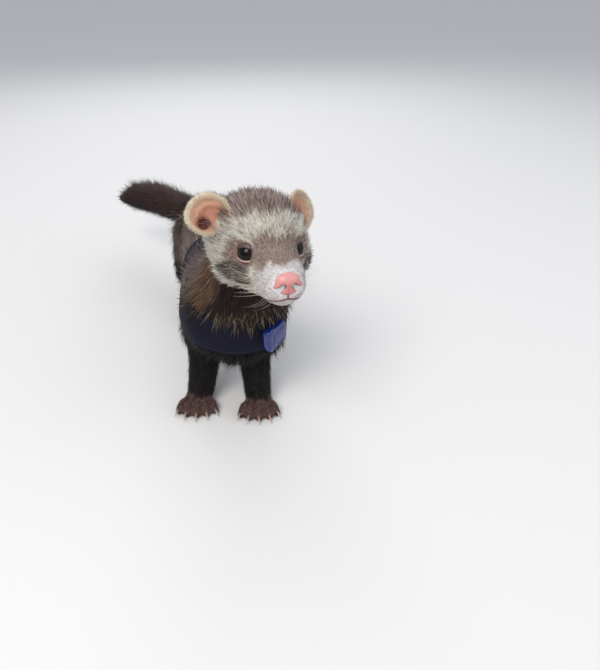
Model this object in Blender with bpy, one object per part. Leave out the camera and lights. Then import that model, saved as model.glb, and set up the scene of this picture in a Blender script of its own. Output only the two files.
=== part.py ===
"""A young ferret standing in a soft harness, life size, in metres with +Z up. It faces -Y; its left is +X.

The body is modelled whole from a few smooth tubes, blended, and parted with thin cuts into its named pieces.
Lengths below are in millimetres with the coat; the functions turn them into metres.
"""

import math
import random

import bmesh
import bpy
import numpy as np
from mathutils import Matrix, Vector
from mathutils.bvhtree import BVHTree

MM = 0.001
GAP = 0.3
ORIGIN_SHIFT = Vector((9.0, -111.1, 0.0)) * MM

# Each row along a limb or the trunk: x, y, z of its middle, half-width and half-height.
TRUNK = [
    (20, -3, 122, 20, 17),
    (19, 2, 106, 24, 22),
    (17, 8, 88, 28.5, 27.5),
    (12.5, 22, 70.5, 31.5, 30.5),
    (9, 44, 65, 30, 28.5),
    (9, 70, 66, 26.5, 26),
    (11, 98, 67, 24, 24.5),
    (13, 124, 67.5, 23.5, 24.5),
    (12.5, 148, 65, 23, 24.5),
    (9.5, 165, 64, 19.5, 20.5),
    (5, 173, 64, 12, 13),
]
FORELEG = {
    "left": [
        (27, 22, 62, 13.5, 16),
        (26, 20, 50, 13, 14),
        (21, 12, 34, 11, 11.5),
        (20, 4, 20, 9.8, 10),
        (20, 0, 8, 8.5, 9),
    ],
    "right": [
        (-9, 30, 62, 13.5, 16),
        (-11, 28, 50, 13, 14),
        (-10.5, 20, 34, 11, 11.5),
        (-13.5, 14, 20, 9.8, 10),
        (-16.5, 12, 8, 8.5, 9),
    ],
}
# Swellings of the shoulders and breast: middle and radii.
SHOULDERS = [
    ((25, 6, 59), (17, 20, 21)),
    ((-4.5, 12, 61), (18, 20, 20)),
    ((10, 6, 57), (24, 21, 22)),
]
HINDLEG = {
    "left": [
        (31, 150, 66, 13, 21),
        (32, 143, 54, 14.5, 18),
        (34.5, 135, 41, 12.5, 13),
        (34, 145, 29, 9.6, 10),
        (33.5, 156, 19, 7.4, 8),
        (33.5, 161, 9, 6.6, 7.2),
    ],
    "right": [
        (-5, 144, 66, 13, 21),
        (-6, 133, 54, 14.5, 18),
        (-9, 124, 41, 12.5, 13),
        (-9, 134, 29, 9.6, 10),
        (-8.5, 145, 19, 7.4, 8),
        (-8.5, 150, 9, 6.6, 7.2),
    ],
}
TAIL = [
    (5, 168, 65, 9, 9.5),
    (-3, 179, 67, 8.4, 8.4),
    (-16, 197, 67.5, 7.6, 7.6),
    (-31, 221, 65.5, 6.6, 6.6),
    (-46, 247, 59.5, 5, 5),
    (-57, 268, 52, 2.6, 2.6),
]

# The planes that part the trunk: a point on each and the way towards the tail.
NECK_CUT = (Vector((14, 12, 86)), Vector((-0.1, 0.45, -0.89)).normalized())
BELLY_CUT = (Vector((9, 78, 66)), Vector((0, 1, 0)))
HIPS_CUT = (Vector((12, 118, 67)), Vector((0, 1, 0)))
LEG_MARGIN = 2.5
WRIST_LEVEL = 11.0
ANKLE_LEVEL = 13.5

# Each forepaw: x and y of its middle and the way it points, in degrees to the animal's left.
FOREPAW = {"left": (19.3, -5, -10), "right": (-18.5, 7.5, -13)}
HINDPAW = {"left": (33.5, 161, 5), "right": (-8.5, 150, -6)}
TOE_OFFSETS = (-7.8, -4.2, 0.0, 4.2, 7.8)
TOE_HEADINGS = (-27, -12, 0, 12, 27)
TOE_REACH = (8.5, 11.0, 12.0, 11.0, 8.5)
CLAW_LENGTH = 5.5

# The head's own frame: forward, left and up from a point between the ears.
HEAD_AT = Vector((21.3, -14, 127)) * MM
HEAD_HEADING = math.radians(7.1)
HEAD_PITCH = math.radians(3.0)
HEAD_ROLL = math.radians(-3.2)
# Rows along the head: forward, top, widest level, bottom, half-width, squareness.
SKULL = [
    (-20, 12, -4, -20, 18, 1.0),
    (-12, 18, -4, -24, 24, 1.0),
    (0, 21.5, -3, -25, 26, 0.95),
    (10, 20, -4, -25, 25.5, 0.95),
    (19, 16.5, -5, -24.5, 22, 0.95),
    (26, 12.5, -6, -24, 17.8, 0.92),
    (33, 7, -8, -23, 14, 0.9),
    (40, 2.5, -9.5, -22, 12.2, 0.9),
    (46, 0, -10.5, -20.5, 10, 0.9),
    (50, -3, -11, -17, 6.5, 0.95),
]
HEAD_CUT = (-8, (-0.85, 0, -0.53))
EYE_CENTRE = (25.0, 12.1, -0.8)
EYE_AXIS = (0.66, 0.72, 0.2)
EYE_RADIUS = 4.5
EYE_OPENING = (4.1, 3.5)
# Each ear, by its side, left being 1: the middle of its cup and the way it opens, given as for the left side.
EAR = {
    1: ((1.4, 24.2, 8.6), (0.66, 0.66, 0.36)),
    -1: ((2.4, 25.6, 10.4), (0.72, 0.54, 0.35)),
}
EAR_RADIUS = 11.4
EAR_DEPTH = 5.2
EAR_THICKNESS = 1.9

TAIL_LOCKS = 62
LOCK_LENGTH = 16.5
LOCK_WIDTH = 8.6
LOCK_THICKNESS = 1.9
LOCK_SEED = 22

# The harness's breast band and the girth it runs forward from, each as a point, a normal and a width.
BREAST_BAND = ((10, -14, 60), (0, -0.2, 0.98), 23.0)
GIRTH = ((9, 62, 66), (0, 0.99, -0.12), 20.0)
BAND_INSIDE = 0.9
BAND_OUTSIDE = 2.7
BUCKLE_AT = (28.5, -11.2, 60.8)
BUCKLE_SIZE = (18, 15.5, 5.4)

# Each piece's material by how its name starts: name, colour and roughness.
PAINTS = [
    ("eye", ("eye", (0.012, 0.01, 0.012), 0.08)),
    ("nose", ("nose", (0.62, 0.3, 0.28), 0.45)),
    ("ear", ("ear", (0.58, 0.38, 0.3), 0.7)),
    ("harness_buckle", ("buckle", (0.02, 0.06, 0.32), 0.2)),
    ("harness", ("webbing", (0.012, 0.014, 0.045), 0.85)),
    ("forepaw", ("paws", (0.2, 0.12, 0.1), 0.7)),
    ("hindpaw", ("paws", (0.2, 0.12, 0.1), 0.7)),
    ("foreleg", ("legs", (0.03, 0.024, 0.022), 0.85)),
    ("hindleg", ("legs", (0.03, 0.024, 0.022), 0.85)),
    ("tail", ("legs", (0.03, 0.024, 0.022), 0.85)),
    ("", ("coat", (0.22, 0.16, 0.12), 0.85)),
]

FLESH_VOXEL = 0.9
SOFTENING = 24
BODY_SOFTENING = 70
HEAD_TRIANGLES = 1400
BODY_TRIANGLES = 2000


def cubic_through(rows, wanted):
    """Rows of numbers read at places along their first three columns' length, on a smooth curve."""
    rows = np.asarray(rows, float)
    at = np.concatenate([[0.0], np.cumsum(np.linalg.norm(np.diff(rows[:, :3], axis=0), axis=1))])
    slope = np.gradient(rows, at, axis=0)
    wanted = np.asarray(wanted) * at[-1]
    i = np.clip(np.searchsorted(at, wanted, side="right") - 1, 0, len(rows) - 2)
    span = (at[i + 1] - at[i])[:, None]
    t = (wanted - at[i])[:, None] / span
    return (
        (2 * t**3 - 3 * t**2 + 1) * rows[i]
        + (t**3 - 2 * t**2 + t) * span * slope[i]
        + (3 * t**2 - 2 * t**3) * rows[i + 1]
        + (t**3 - t**2) * span * slope[i + 1]
    )


def grid_faces(rings, sides):
    """Quads between rings of points, and fans to a last-but-one and a last point that close the two ends."""
    faces = []
    for r in range(rings - 1):
        for s in range(sides):
            a, b = r * sides + s, r * sides + (s + 1) % sides
            faces.append((a, b, b + sides, a + sides))
    first, last = rings * sides, rings * sides + 1
    end = (rings - 1) * sides
    for s in range(sides):
        faces.append((first, (s + 1) % sides, s))
        faces.append((last, end + s, end + (s + 1) % sides))
    return faces


def tube(rows, rings=24, sides=24, grow=0.0, dome=0.8):
    """Points and faces of a closed tube with domed ends along rows of x, y, z, half-width and half-height."""
    rows = cubic_through(rows, np.linspace(0, 1, rings))
    middle, radii = rows[:, :3], rows[:, 3:5] + grow
    tangent = np.gradient(middle, axis=0)
    tangent /= np.linalg.norm(tangent, axis=1)[:, None]
    steps = np.array([0.92, 0.7, 0.38])
    back = -tangent[0] * radii[0].min() * dome
    on = tangent[-1] * radii[-1].min() * dome
    shrink = np.sqrt(1 - steps**2)[:, None]
    middle = np.concatenate([middle[0] + steps[:, None] * back, middle, middle[-1] + steps[::-1, None] * on])
    radii = np.concatenate([radii[0] * shrink, radii, radii[-1] * shrink[::-1]])
    tangent = np.concatenate([tangent[[0, 0, 0]], tangent, tangent[[-1, -1, -1]]])
    across = np.array([1.0, 0, 0]) - tangent[:, :1] * tangent
    across /= np.linalg.norm(across, axis=1)[:, None]
    over = np.cross(tangent, across)
    angle = np.linspace(0, 2 * np.pi, sides, endpoint=False)
    points = (
        middle[:, None]
        + across[:, None] * radii[:, None, :1] * np.cos(angle)[None, :, None]
        + over[:, None] * radii[:, None, 1:] * np.sin(angle)[None, :, None]
    )
    points = np.concatenate([points.reshape(-1, 3), [rows[0, :3] + back, rows[-1, :3] + on]])
    return points * MM, grid_faces(len(middle), sides)


def head_axes():
    """The head's forward, left and up directions as the columns of a matrix."""
    ahead = Vector((
        math.sin(HEAD_HEADING) * math.cos(HEAD_PITCH),
        -math.cos(HEAD_HEADING) * math.cos(HEAD_PITCH),
        math.sin(HEAD_PITCH),
    ))
    left = Vector((math.cos(HEAD_HEADING), math.sin(HEAD_HEADING), 0))
    up = left.cross(ahead) * -1
    roll = Matrix.Rotation(HEAD_ROLL, 3, ahead)
    turned = [ahead, roll @ left, roll @ up]
    return np.array([list(v) for v in turned]).T


def from_head(points):
    """Points given forward, left and up from the head's centre, in millimetres, placed on the body."""
    return np.asarray(points, float) * MM @ head_axes().T + np.array(HEAD_AT)


def head_direction(direction):
    return Vector(head_axes() @ np.asarray(direction, float)).normalized()


def skull(rings=40, sides=40, grow=0.0):
    """The head's main form: rounded cross-sections along its length."""
    rows = np.array([(r[0], 0, 0, *r[1:]) for r in SKULL], float)
    rows = cubic_through(rows, np.linspace(0, 1, rings))
    ahead, _, _, top, level, bottom, half, square = rows.T
    angle = np.linspace(0, 2 * np.pi, sides, endpoint=False)
    c, s = np.cos(angle)[None], np.sin(angle)[None]
    power = square[:, None]
    across = (half[:, None] + grow) * np.sign(c) * np.abs(c) ** power
    high = np.where(s > 0, (top - level)[:, None] + grow, (level - bottom)[:, None] + grow)
    up = level[:, None] + high * np.sign(s) * np.abs(s) ** power
    points = np.stack([np.repeat(ahead[:, None], sides, 1), across, up], -1).reshape(-1, 3)
    ends = [(ahead[0] - 6, 0, level[0]), (ahead[-1] + 2, 0, level[-1])]
    return from_head(np.concatenate([points, ends])), grid_faces(rings, sides)


def ball(centre, radii, rings=12, sides=18):
    """An ellipsoid, in millimetres."""
    down = np.linspace(0, np.pi, rings + 2)[1:-1]
    around = np.linspace(0, 2 * np.pi, sides, endpoint=False)
    points = np.stack([
        np.sin(down)[:, None] * np.cos(around),
        np.sin(down)[:, None] * np.sin(around),
        np.repeat(np.cos(down)[:, None], sides, 1),
    ], -1).reshape(-1, 3)
    points = np.concatenate([points, [(0, 0, 1), (0, 0, -1)]]) * np.asarray(radii, float)
    return points + np.asarray(centre, float), grid_faces(rings, sides)


def head_ball(centre, radii, rings=12, sides=18):
    points, faces = ball(centre, radii, rings, sides)
    return from_head(points), faces


def body_ball(centre, radii):
    points, faces = ball(centre, radii)
    return points * MM, faces


def wire(path, radii, sides=6):
    """A closed round tube through points in metres, with a radius in millimetres at each."""
    path = np.asarray(path, float)
    radii = np.asarray(radii, float) * MM
    tangent = np.gradient(path, axis=0)
    tangent /= np.linalg.norm(tangent, axis=1)[:, None]
    across = np.cross(tangent, [0.13, 0.21, 0.97])
    across /= np.linalg.norm(across, axis=1)[:, None]
    over = np.cross(tangent, across)
    angle = np.linspace(0, 2 * np.pi, sides, endpoint=False)
    points = path[:, None] + radii[:, None, None] * (
        across[:, None] * np.cos(angle)[None, :, None] + over[:, None] * np.sin(angle)[None, :, None]
    )
    ends = [path[0] - tangent[0] * radii[0], path[-1] + tangent[-1] * radii[-1]]
    return np.concatenate([points.reshape(-1, 3), ends]), grid_faces(len(path), sides)


def ring_faces(rings, sides):
    """Quads of a closed loop of rings, as on a torus."""
    faces = []
    for r in range(rings):
        for s in range(sides):
            a, b = r * sides + s, r * sides + (s + 1) % sides
            c, d = (r + 1) % rings * sides + s, (r + 1) % rings * sides + (s + 1) % sides
            faces.append((a, b, d, c))
    return faces


def add_object(name, *shapes):
    """One mesh object from one or more lists of points and faces."""
    points, faces, count = [], [], 0
    for shape_points, shape_faces in shapes:
        points.append(np.asarray(shape_points, float))
        faces += [tuple(i + count for i in face) for face in shape_faces]
        count += len(shape_points)
    mesh = bpy.data.meshes.new(name)
    mesh.from_pydata(np.concatenate(points).tolist(), [], faces)
    obj = bpy.data.objects.new(name, mesh)
    bpy.context.scene.collection.objects.link(obj)
    tidy_normals(obj)
    return obj


def tidy_normals(obj):
    bm = bmesh.new()
    bm.from_mesh(obj.data)
    bmesh.ops.recalc_face_normals(bm, faces=bm.faces)
    bm.to_mesh(obj.data)
    bm.free()


def points_of(obj):
    flat = np.empty(3 * len(obj.data.vertices))
    obj.data.vertices.foreach_get("co", flat)
    return flat.reshape(-1, 3)


def put_points(obj, points):
    obj.data.vertices.foreach_set("co", np.ascontiguousarray(points).ravel())
    obj.data.update()


def copy_of(obj, name):
    other = bpy.data.objects.new(name, obj.data.copy())
    bpy.context.scene.collection.objects.link(other)
    return other


def drop(obj):
    bpy.data.objects.remove(obj)


def applied(obj):
    """The object's modifiers become its mesh."""
    bpy.context.view_layer.update()
    graph = bpy.context.evaluated_depsgraph_get()
    mesh = bpy.data.meshes.new_from_object(obj.evaluated_get(graph))
    obj.modifiers.clear()
    old = obj.data
    obj.data = mesh
    bpy.data.meshes.remove(old)
    return obj


def remeshed(obj, voxel):
    remesh = obj.modifiers.new("blend", "REMESH")
    remesh.mode = "VOXEL"
    remesh.voxel_size = voxel * MM
    return applied(obj)


def softened(obj, turns, weight=0.5, behind=None):
    """Each point moves part of the way to the middle of its neighbours, several times over."""
    points = points_of(obj)
    if behind is not None:
        start, way = behind
        depth = (points / MM - np.array(start)) @ np.array(way)
        weight = weight * np.clip(depth / 12, 0, 1)[:, None]
    ends = np.empty(2 * len(obj.data.edges), int)
    obj.data.edges.foreach_get("vertices", ends)
    a, b = ends.reshape(-1, 2).T
    count = np.bincount(np.concatenate([a, b]), minlength=len(points))[:, None]
    for _ in range(turns):
        total = np.stack([
            np.bincount(a, points[b, k], len(points)) + np.bincount(b, points[a, k], len(points))
            for k in range(3)
        ], -1)
        points = points + weight * (total / count - points)
    put_points(obj, points)


def thinned(obj, triangles):
    """About so many triangles, fewest where the surface is flattest."""
    count = sum(len(face.vertices) - 2 for face in obj.data.polygons)
    if count <= triangles:
        return obj
    fewer = obj.modifiers.new("fewer", "DECIMATE")
    fewer.ratio = triangles / count
    return applied(obj)


def grown(obj, distance, name="grown"):
    """A copy with its surface moved outwards, in millimetres."""
    other = copy_of(obj, name)
    bm = bmesh.new()
    bm.from_mesh(other.data)
    bm.normal_update()
    for vertex in bm.verts:
        vertex.co += vertex.normal * vertex.calc_shell_factor() * distance * MM
    bm.to_mesh(other.data)
    bm.free()
    return other


def boolean(obj, tool, operation):
    """The tool is joined to the object, cut from it or kept in common with it, and then removed."""
    tool.hide_render = True
    joined = obj.modifiers.new("join", "BOOLEAN")
    joined.operation = operation
    joined.solver = "MANIFOLD"
    joined.object = tool
    applied(obj)
    drop(tool)
    return obj


def cut_off(obj, point, normal):
    """Keeps what lies behind a plane, given in millimetres, and closes the cut with a flat face."""
    bm = bmesh.new()
    bm.from_mesh(obj.data)
    everything = bm.verts[:] + bm.edges[:] + bm.faces[:]
    plane = {"plane_co": point * MM, "plane_no": normal, "dist": 1e-7}
    bmesh.ops.bisect_plane(bm, geom=everything, clear_outer=True, **plane)
    rim = [edge for edge in bm.edges if edge.is_boundary]
    bmesh.ops.holes_fill(bm, edges=rim, sides=0)
    bmesh.ops.triangulate(bm, faces=[face for face in bm.faces if len(face.verts) > 4])
    bmesh.ops.recalc_face_normals(bm, faces=bm.faces)
    bm.to_mesh(obj.data)
    bm.free()
    return obj


def between(obj, name, front=None, rear=None):
    """The stretch of a copy from one plane to the next, half a gap short of each."""
    piece = copy_of(obj, name)
    if front:
        cut_off(piece, front[0] + front[1] * GAP / 2, -front[1])
    if rear:
        cut_off(piece, rear[0] - rear[1] * GAP / 2, rear[1])
    return piece


def without_slivers(obj):
    """Points closer than a hair's width become one, where every edge keeps two faces."""
    for distance in (0.06, 0.03, 0.012):
        bm = bmesh.new()
        bm.from_mesh(obj.data)
        bmesh.ops.triangulate(bm, faces=[face for face in bm.faces if len(face.verts) > 4])
        bmesh.ops.remove_doubles(bm, verts=bm.verts, dist=distance * MM)
        bmesh.ops.dissolve_degenerate(bm, edges=bm.edges, dist=0.003 * MM)
        closed = all(edge.is_manifold for edge in bm.edges)
        if closed:
            bm.to_mesh(obj.data)
        bm.free()
        if closed:
            return obj
    return obj


def largest_part(obj):
    """Only the largest closed surface is kept."""
    bm = bmesh.new()
    bm.from_mesh(obj.data)
    unseen = set(bm.faces)
    parts = []
    while unseen:
        start = unseen.pop()
        part, edge = [start], [start]
        while edge:
            for side in edge.pop().edges:
                for face in side.link_faces:
                    if face in unseen:
                        unseen.remove(face)
                        part.append(face)
                        edge.append(face)
        parts.append(part)
    parts.sort(key=lambda part: sum(face.calc_area() for face in part))
    for part in parts[:-1]:
        bmesh.ops.delete(bm, geom=part, context="FACES")
    loose = [vertex for vertex in bm.verts if not vertex.link_faces]
    bmesh.ops.delete(bm, geom=loose, context="VERTS")
    bm.to_mesh(obj.data)
    bm.free()
    return without_slivers(obj)


def painted(obj, name, colour, roughness):
    material = bpy.data.materials.get(name) or bpy.data.materials.new(name)
    material.use_nodes = True
    shader = material.node_tree.nodes["Principled BSDF"]
    shader.inputs["Base Color"].default_value = (*colour, 1)
    shader.inputs["Roughness"].default_value = roughness
    obj.data.materials.clear()
    obj.data.materials.append(material)
    return obj


def muzzle_shapes():
    """Whisker pads, cheeks and chin."""
    shapes = []
    for side in (-1, 1):
        shapes.append(head_ball((43.5, 5.2 * side, -11.5), (7.5, 6, 6.2)))
        shapes.append(head_ball((12, 16 * side, -9), (12, 9.5, 12.5)))
    shapes.append(head_ball((41.5, 0, -18), (7, 5.5, 4.6)))
    return shapes


def dented(points, centre, direction, depth, reach):
    """Points near a place in the head moved along a direction, most at the middle."""
    away = np.linalg.norm(points - from_head(centre), axis=1) / (reach * MM)
    return points + np.array(head_direction(direction)) * (depth * MM * np.exp(-(away**2)))[:, None]


def whole_flesh():
    """The animal without paws, tail, ears, eyes and nose, as one smooth skin."""
    shapes = [tube(TRUNK, 40, 32), skull()]
    shapes += [tube(FORELEG[side]) for side in FORELEG]
    shapes += [tube(HINDLEG[side]) for side in HINDLEG]
    shapes += [body_ball(centre, radii) for centre, radii in SHOULDERS]
    flesh = remeshed(add_object("flesh", *shapes, *muzzle_shapes()), FLESH_VOXEL)
    softened(flesh, SOFTENING)
    softened(flesh, BODY_SOFTENING, behind=(Vector(from_head((-2, 0, 0))) / MM, head_direction(HEAD_CUT[1])))
    points = points_of(flesh)
    for side in (-1, 1):
        inward = (-EYE_AXIS[0], -EYE_AXIS[1] * side, -EYE_AXIS[2])
        points = dented(points, (28.5, 16.8 * side, 0.2), inward, 2.9, 6.0)
        points = dented(points, (33, 9.5 * side, -4.5), (0, -side, -0.3), 0.9, 6.0)
    put_points(flesh, points)
    return flesh


def mirrored(vector, side):
    return Vector((vector[0], vector[1] * side, vector[2]))


def eye_frame(side):
    """The eye's middle and its outward, forward and upward directions, in the head's frame."""
    axis = mirrored(EYE_AXIS, side).normalized()
    up = (Vector((0, 0, 1)) - axis * axis.z).normalized()
    along = up.cross(axis) * side
    return mirrored(EYE_CENTRE, side), axis, along, up


def eyeball(side, grow=0.0):
    centre, _, _, _ = eye_frame(side)
    radius = EYE_RADIUS + grow
    return head_ball(centre, (radius, radius, radius), 8, 14)


def lid_ring(side, rings=18, sides=6):
    """The rim of the lids: a rounded loop around the opening, drawn out a little at its two corners."""
    centre, axis, along, up = eye_frame(side)
    points = []
    for k in range(rings):
        turn = 2 * math.pi * k / rings
        wide = (EYE_OPENING[0] + 0.5 * abs(math.cos(turn)) ** 6) * math.cos(turn)
        high = EYE_OPENING[1] * math.sin(turn)
        flat = min(math.hypot(wide, high) / (EYE_RADIUS + 0.3), 0.98)
        out = (EYE_RADIUS + 0.3) * math.sqrt(1 - flat**2)
        middle = centre + along * wide + up * high + axis * out
        outward = (along * wide + up * high).normalized()
        for j in range(sides):
            lean = 2 * math.pi * j / sides
            points.append(middle + outward * (0.95 * math.cos(lean) + 0.9) + axis * 0.8 * math.sin(lean))
    return from_head([list(p) for p in points]), ring_faces(rings, sides)


def opening_cone(side, sides=18):
    """Clears the coat from in front of the eye, flaring outwards."""
    centre, axis, along, up = eye_frame(side)
    points = []
    for out, flare in ((0.5, 0.85), (3.5, 1.06), (9.0, 1.7)):
        for k in range(sides):
            turn = 2 * math.pi * k / sides
            wide = EYE_OPENING[0] * flare * math.cos(turn)
            high = EYE_OPENING[1] * flare * math.sin(turn)
            points.append(centre + along * wide + up * high + axis * out)
    points += [centre + axis * 0.3, centre + axis * 9.2]
    return from_head([list(p) for p in points]), grid_faces(3, sides)


def ear_shape(side, grow=0.0, rings=3, sides=20):
    """A rounded cup: its hollow front from the middle to the rim, then its back."""
    normal = mirrored(EAR[side][1], side).normalized()
    up = (Vector((0, 0, 1)) - normal * normal.z).normalized()
    out = (up.cross(normal) * -side).normalized()
    centre = mirrored(EAR[side][0], side)
    points = []
    thick = EAR_THICKNESS + 2 * grow
    levels = [(k + 1) / rings for k in range(rings)]
    layers = [(level, grow) for level in levels]
    layers += [(1.03, -thick / 2 + grow)]
    layers += [(level, grow - thick) for level in levels[::-1]]
    for level, lift in layers:
        for k in range(sides):
            turn = 2 * math.pi * k / sides
            radius = (EAR_RADIUS + grow) * (1 + 0.05 * math.sin(turn) + 0.03 * math.cos(2 * turn))
            hollow = EAR_DEPTH * (1 - level**2) - 0.9 * max(0.0, level - 0.8) / 0.2
            middle = centre + (out * math.cos(turn) + up * math.sin(turn)) * radius * level
            points.append(middle + normal * (lift - hollow))
    points += [centre + normal * (grow - EAR_DEPTH), centre + normal * (grow - thick - EAR_DEPTH)]
    return from_head([list(p) for p in points]), grid_faces(len(layers), sides)


def nose_leather():
    """The nose pad with its two wings and the short groove below."""
    shapes = [
        head_ball((47.2, 0, -7.2), (5.0, 6.6, 5.0)),
        head_ball((47.8, 4.2, -9.6), (4.0, 3.2, 3.4)),
        head_ball((47.8, -4.2, -9.6), (4.0, 3.2, 3.4)),
        head_ball((48.3, 0, -11.4), (3.3, 3.2, 3.1)),
    ]
    nose = remeshed(add_object("nose", *shapes), 0.45)
    softened(nose, 5)
    return thinned(nose, 200)


def nostrils(nose):
    """Two commas that curl outwards, and the groove between them."""
    for side in (-1, 1):
        opening = [
            (51.7, 2.9 * side, -9.2),
            (51.3, 4.0 * side, -9.8),
            (50.2, 5.8 * side, -10.4),
            (48.9, 7.2 * side, -10.5),
        ]
        slit = add_object("slit", wire(from_head(opening), (1.1, 1.25, 0.8, 0.4), 8))
        boolean(nose, slit, "DIFFERENCE")
    groove = from_head([(52.2, 0, -8.0), (52.0, 0, -10.0), (51.3, 0, -12.6), (50.4, 0, -15.4)])
    boolean(nose, add_object("slit", wire(groove, (0.2, 0.45, 0.55, 0.5))), "DIFFERENCE")
    return largest_part(nose)


def mouth_path(head):
    """The line between the lips, read off the muzzle's surface from one corner round to the other."""
    surface = BVHTree.FromObject(head, bpy.context.evaluated_depsgraph_get())
    path = []
    for turn in range(-78, 79, 6):
        lean = math.radians(abs(turn))
        level = -15.6 - 2.6 * math.sin(min(lean * 1.5, math.pi / 2)) + 1.3 * max(0.0, abs(turn) - 55) / 23
        start = Vector(from_head((31, 0, level)))
        way = head_direction((math.cos(lean), math.sin(math.radians(turn)), 0))
        hit = surface.ray_cast(start, way)[0]
        path.append(list(hit))
    return path


def made_head(flesh, parts):
    """The head with its eye openings, lids, lips and ear hollows."""
    point = Vector(from_head((HEAD_CUT[0], 0, 0))) / MM
    back = head_direction(HEAD_CUT[1])
    head = copy_of(flesh, "head")
    cut_off(head, point + back * 6, back)
    thinned(head, HEAD_TRIANGLES)
    cut_off(head, point - back * GAP / 2, back)
    for side, ear in ((1, "ear_left"), (-1, "ear_right")):
        boolean(head, add_object("hollow", head_ball((6.6, 20.4 * side, 6.2), (4.6, 5.2, 5.2))), "DIFFERENCE")
        boolean(head, add_object("slot", ear_shape(side, GAP)), "DIFFERENCE")
        parts[ear] = add_object(ear, ear_shape(side))
    for side, eye in ((1, "eye_left"), (-1, "eye_right")):
        boolean(head, add_object("cone", opening_cone(side)), "DIFFERENCE")
        boolean(head, add_object("rim", lid_ring(side)), "UNION")
        boolean(head, add_object("socket", eyeball(side, GAP)), "DIFFERENCE")
        parts[eye] = add_object(eye, eyeball(side))
    path = mouth_path(head)
    count = len(path)
    width = [0.7 * math.sin(math.pi * (k + 1.5) / (count + 2)) ** 0.5 for k in range(count)]
    boolean(head, add_object("lips", wire(path, width)), "DIFFERENCE")
    nose = nose_leather()
    boolean(head, grown(nose, GAP), "DIFFERENCE")
    parts["nose"] = nostrils(nose)
    parts["head"] = largest_part(head)


def leg_region(rows, grow, lower=6.0):
    """A rounded block with no hollows that holds a leg, its top sunk in the trunk."""
    rows = [list(row) for row in rows]
    rows[0][2] -= lower
    obj = add_object("region", tube(rows, 9, 16, grow, 0.9))
    bm = bmesh.new()
    bm.from_mesh(obj.data)
    hull = bmesh.ops.convex_hull(bm, input=bm.verts)
    bmesh.ops.delete(bm, geom=hull["geom_interior"] + hull["geom_unused"], context="VERTS")
    kept = set(hull["geom"])
    bmesh.ops.delete(bm, geom=[face for face in bm.faces if face not in kept], context="FACES_ONLY")
    bmesh.ops.recalc_face_normals(bm, faces=bm.faces)
    bm.to_mesh(obj.data)
    bm.free()
    return obj


def made_body(flesh, parts):
    """Neck, chest, belly and hips, and the legs that part from them along rounded cuts."""
    point = Vector(from_head((HEAD_CUT[0], 0, 0))) / MM
    back = head_direction(HEAD_CUT[1])
    body = copy_of(flesh, "body")
    cut_off(body, point - back * 6, -back)
    thinned(body, BODY_TRIANGLES)
    cut_off(body, point + back * GAP / 2, -back)
    trunk = copy_of(body, "trunk")
    for legs, name in ((FORELEG, "foreleg"), (HINDLEG, "hindleg")):
        for side, rows in legs.items():
            leg = copy_of(body, f"{name}_{side}")
            boolean(leg, leg_region(rows, LEG_MARGIN), "INTERSECT")
            boolean(trunk, leg_region(rows, LEG_MARGIN + GAP), "DIFFERENCE")
            parts[f"{name}_{side}"] = largest_part(leg)
    drop(body)
    largest_part(trunk)
    parts["neck"] = between(trunk, "neck", None, NECK_CUT)
    parts["chest"] = between(trunk, "chest", NECK_CUT, BELLY_CUT)
    parts["belly"] = between(trunk, "belly", BELLY_CUT, HIPS_CUT)
    parts["hips"] = between(trunk, "hips", HIPS_CUT, None)
    drop(trunk)


def claw(start, heading, length=CLAW_LENGTH):
    """A thin curved cone from a toe's end forwards and down."""
    way = Vector((math.sin(heading), -math.cos(heading), 0))
    path, radii = [], []
    for k in range(5):
        t = k / 4
        ahead = length * (t - 0.25)
        drop_by = 0.9 * t + 1.9 * t * t
        path.append(list((start + way * ahead - Vector((0, 0, drop_by))) * MM))
        radii.append(1.15 - 0.9 * t)
    return wire(path, radii, 6)


def toes(centre, heading, offsets, headings, reaches, level):
    """Tubes for the toes, bent down at the knuckle, and where each claw starts."""
    shapes, claws = [], []
    for offset, turn, reach in zip(offsets, headings, reaches):
        way_turn = math.radians(heading + turn)
        way = Vector((math.sin(way_turn), -math.cos(way_turn), 0))
        left = Vector((math.cos(math.radians(heading)), math.sin(math.radians(heading)), 0))
        start = centre + left * offset
        knuckle = start + way * reach * 0.5
        tip = start + way * reach
        rows = [
            (start.x, start.y, level, 2.7, 2.7),
            (knuckle.x, knuckle.y, level + 0.4, 2.75, 2.6),
            (tip.x, tip.y, 2.3, 2.5, 2.4),
        ]
        shapes.append(tube(rows, 8, 14))
        claws.append((Vector((tip.x, tip.y, 3.9)) + way * 1.2, way_turn))
    return shapes, claws


def finished_paw(name, shapes, claws, level, triangles):
    paw = remeshed(add_object(name, *shapes), 0.6)
    softened(paw, 5)
    thinned(paw, triangles)
    for start, heading in claws:
        boolean(paw, add_object("claw", claw(start, heading)), "UNION")
    cut_off(paw, Vector((0, 0, level - GAP)), Vector((0, 0, 1)))
    cut_off(paw, Vector((0, 0, 0)), Vector((0, 0, -1)))
    return largest_part(paw)


def made_forepaw(side):
    x, y, heading = FOREPAW[side]
    turn = math.radians(heading)
    way = Vector((math.sin(turn), -math.cos(turn), 0))
    centre = Vector((x, y, 0))
    palm = centre - way * 1.5
    heel = centre - way * 7
    shapes, claws = toes(centre + way * 2, heading, TOE_OFFSETS, TOE_HEADINGS, TOE_REACH, 5.2)
    shapes.append(body_ball((palm.x, palm.y, 5.0), (9.2, 8.0, 5.6)))
    shapes.append(body_ball((heel.x, heel.y, 4.6), (6.0, 5.2, 5.2)))
    shapes.append(tube(FORELEG[side]))
    return finished_paw(f"forepaw_{side}", shapes, claws, WRIST_LEVEL, 340)


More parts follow.
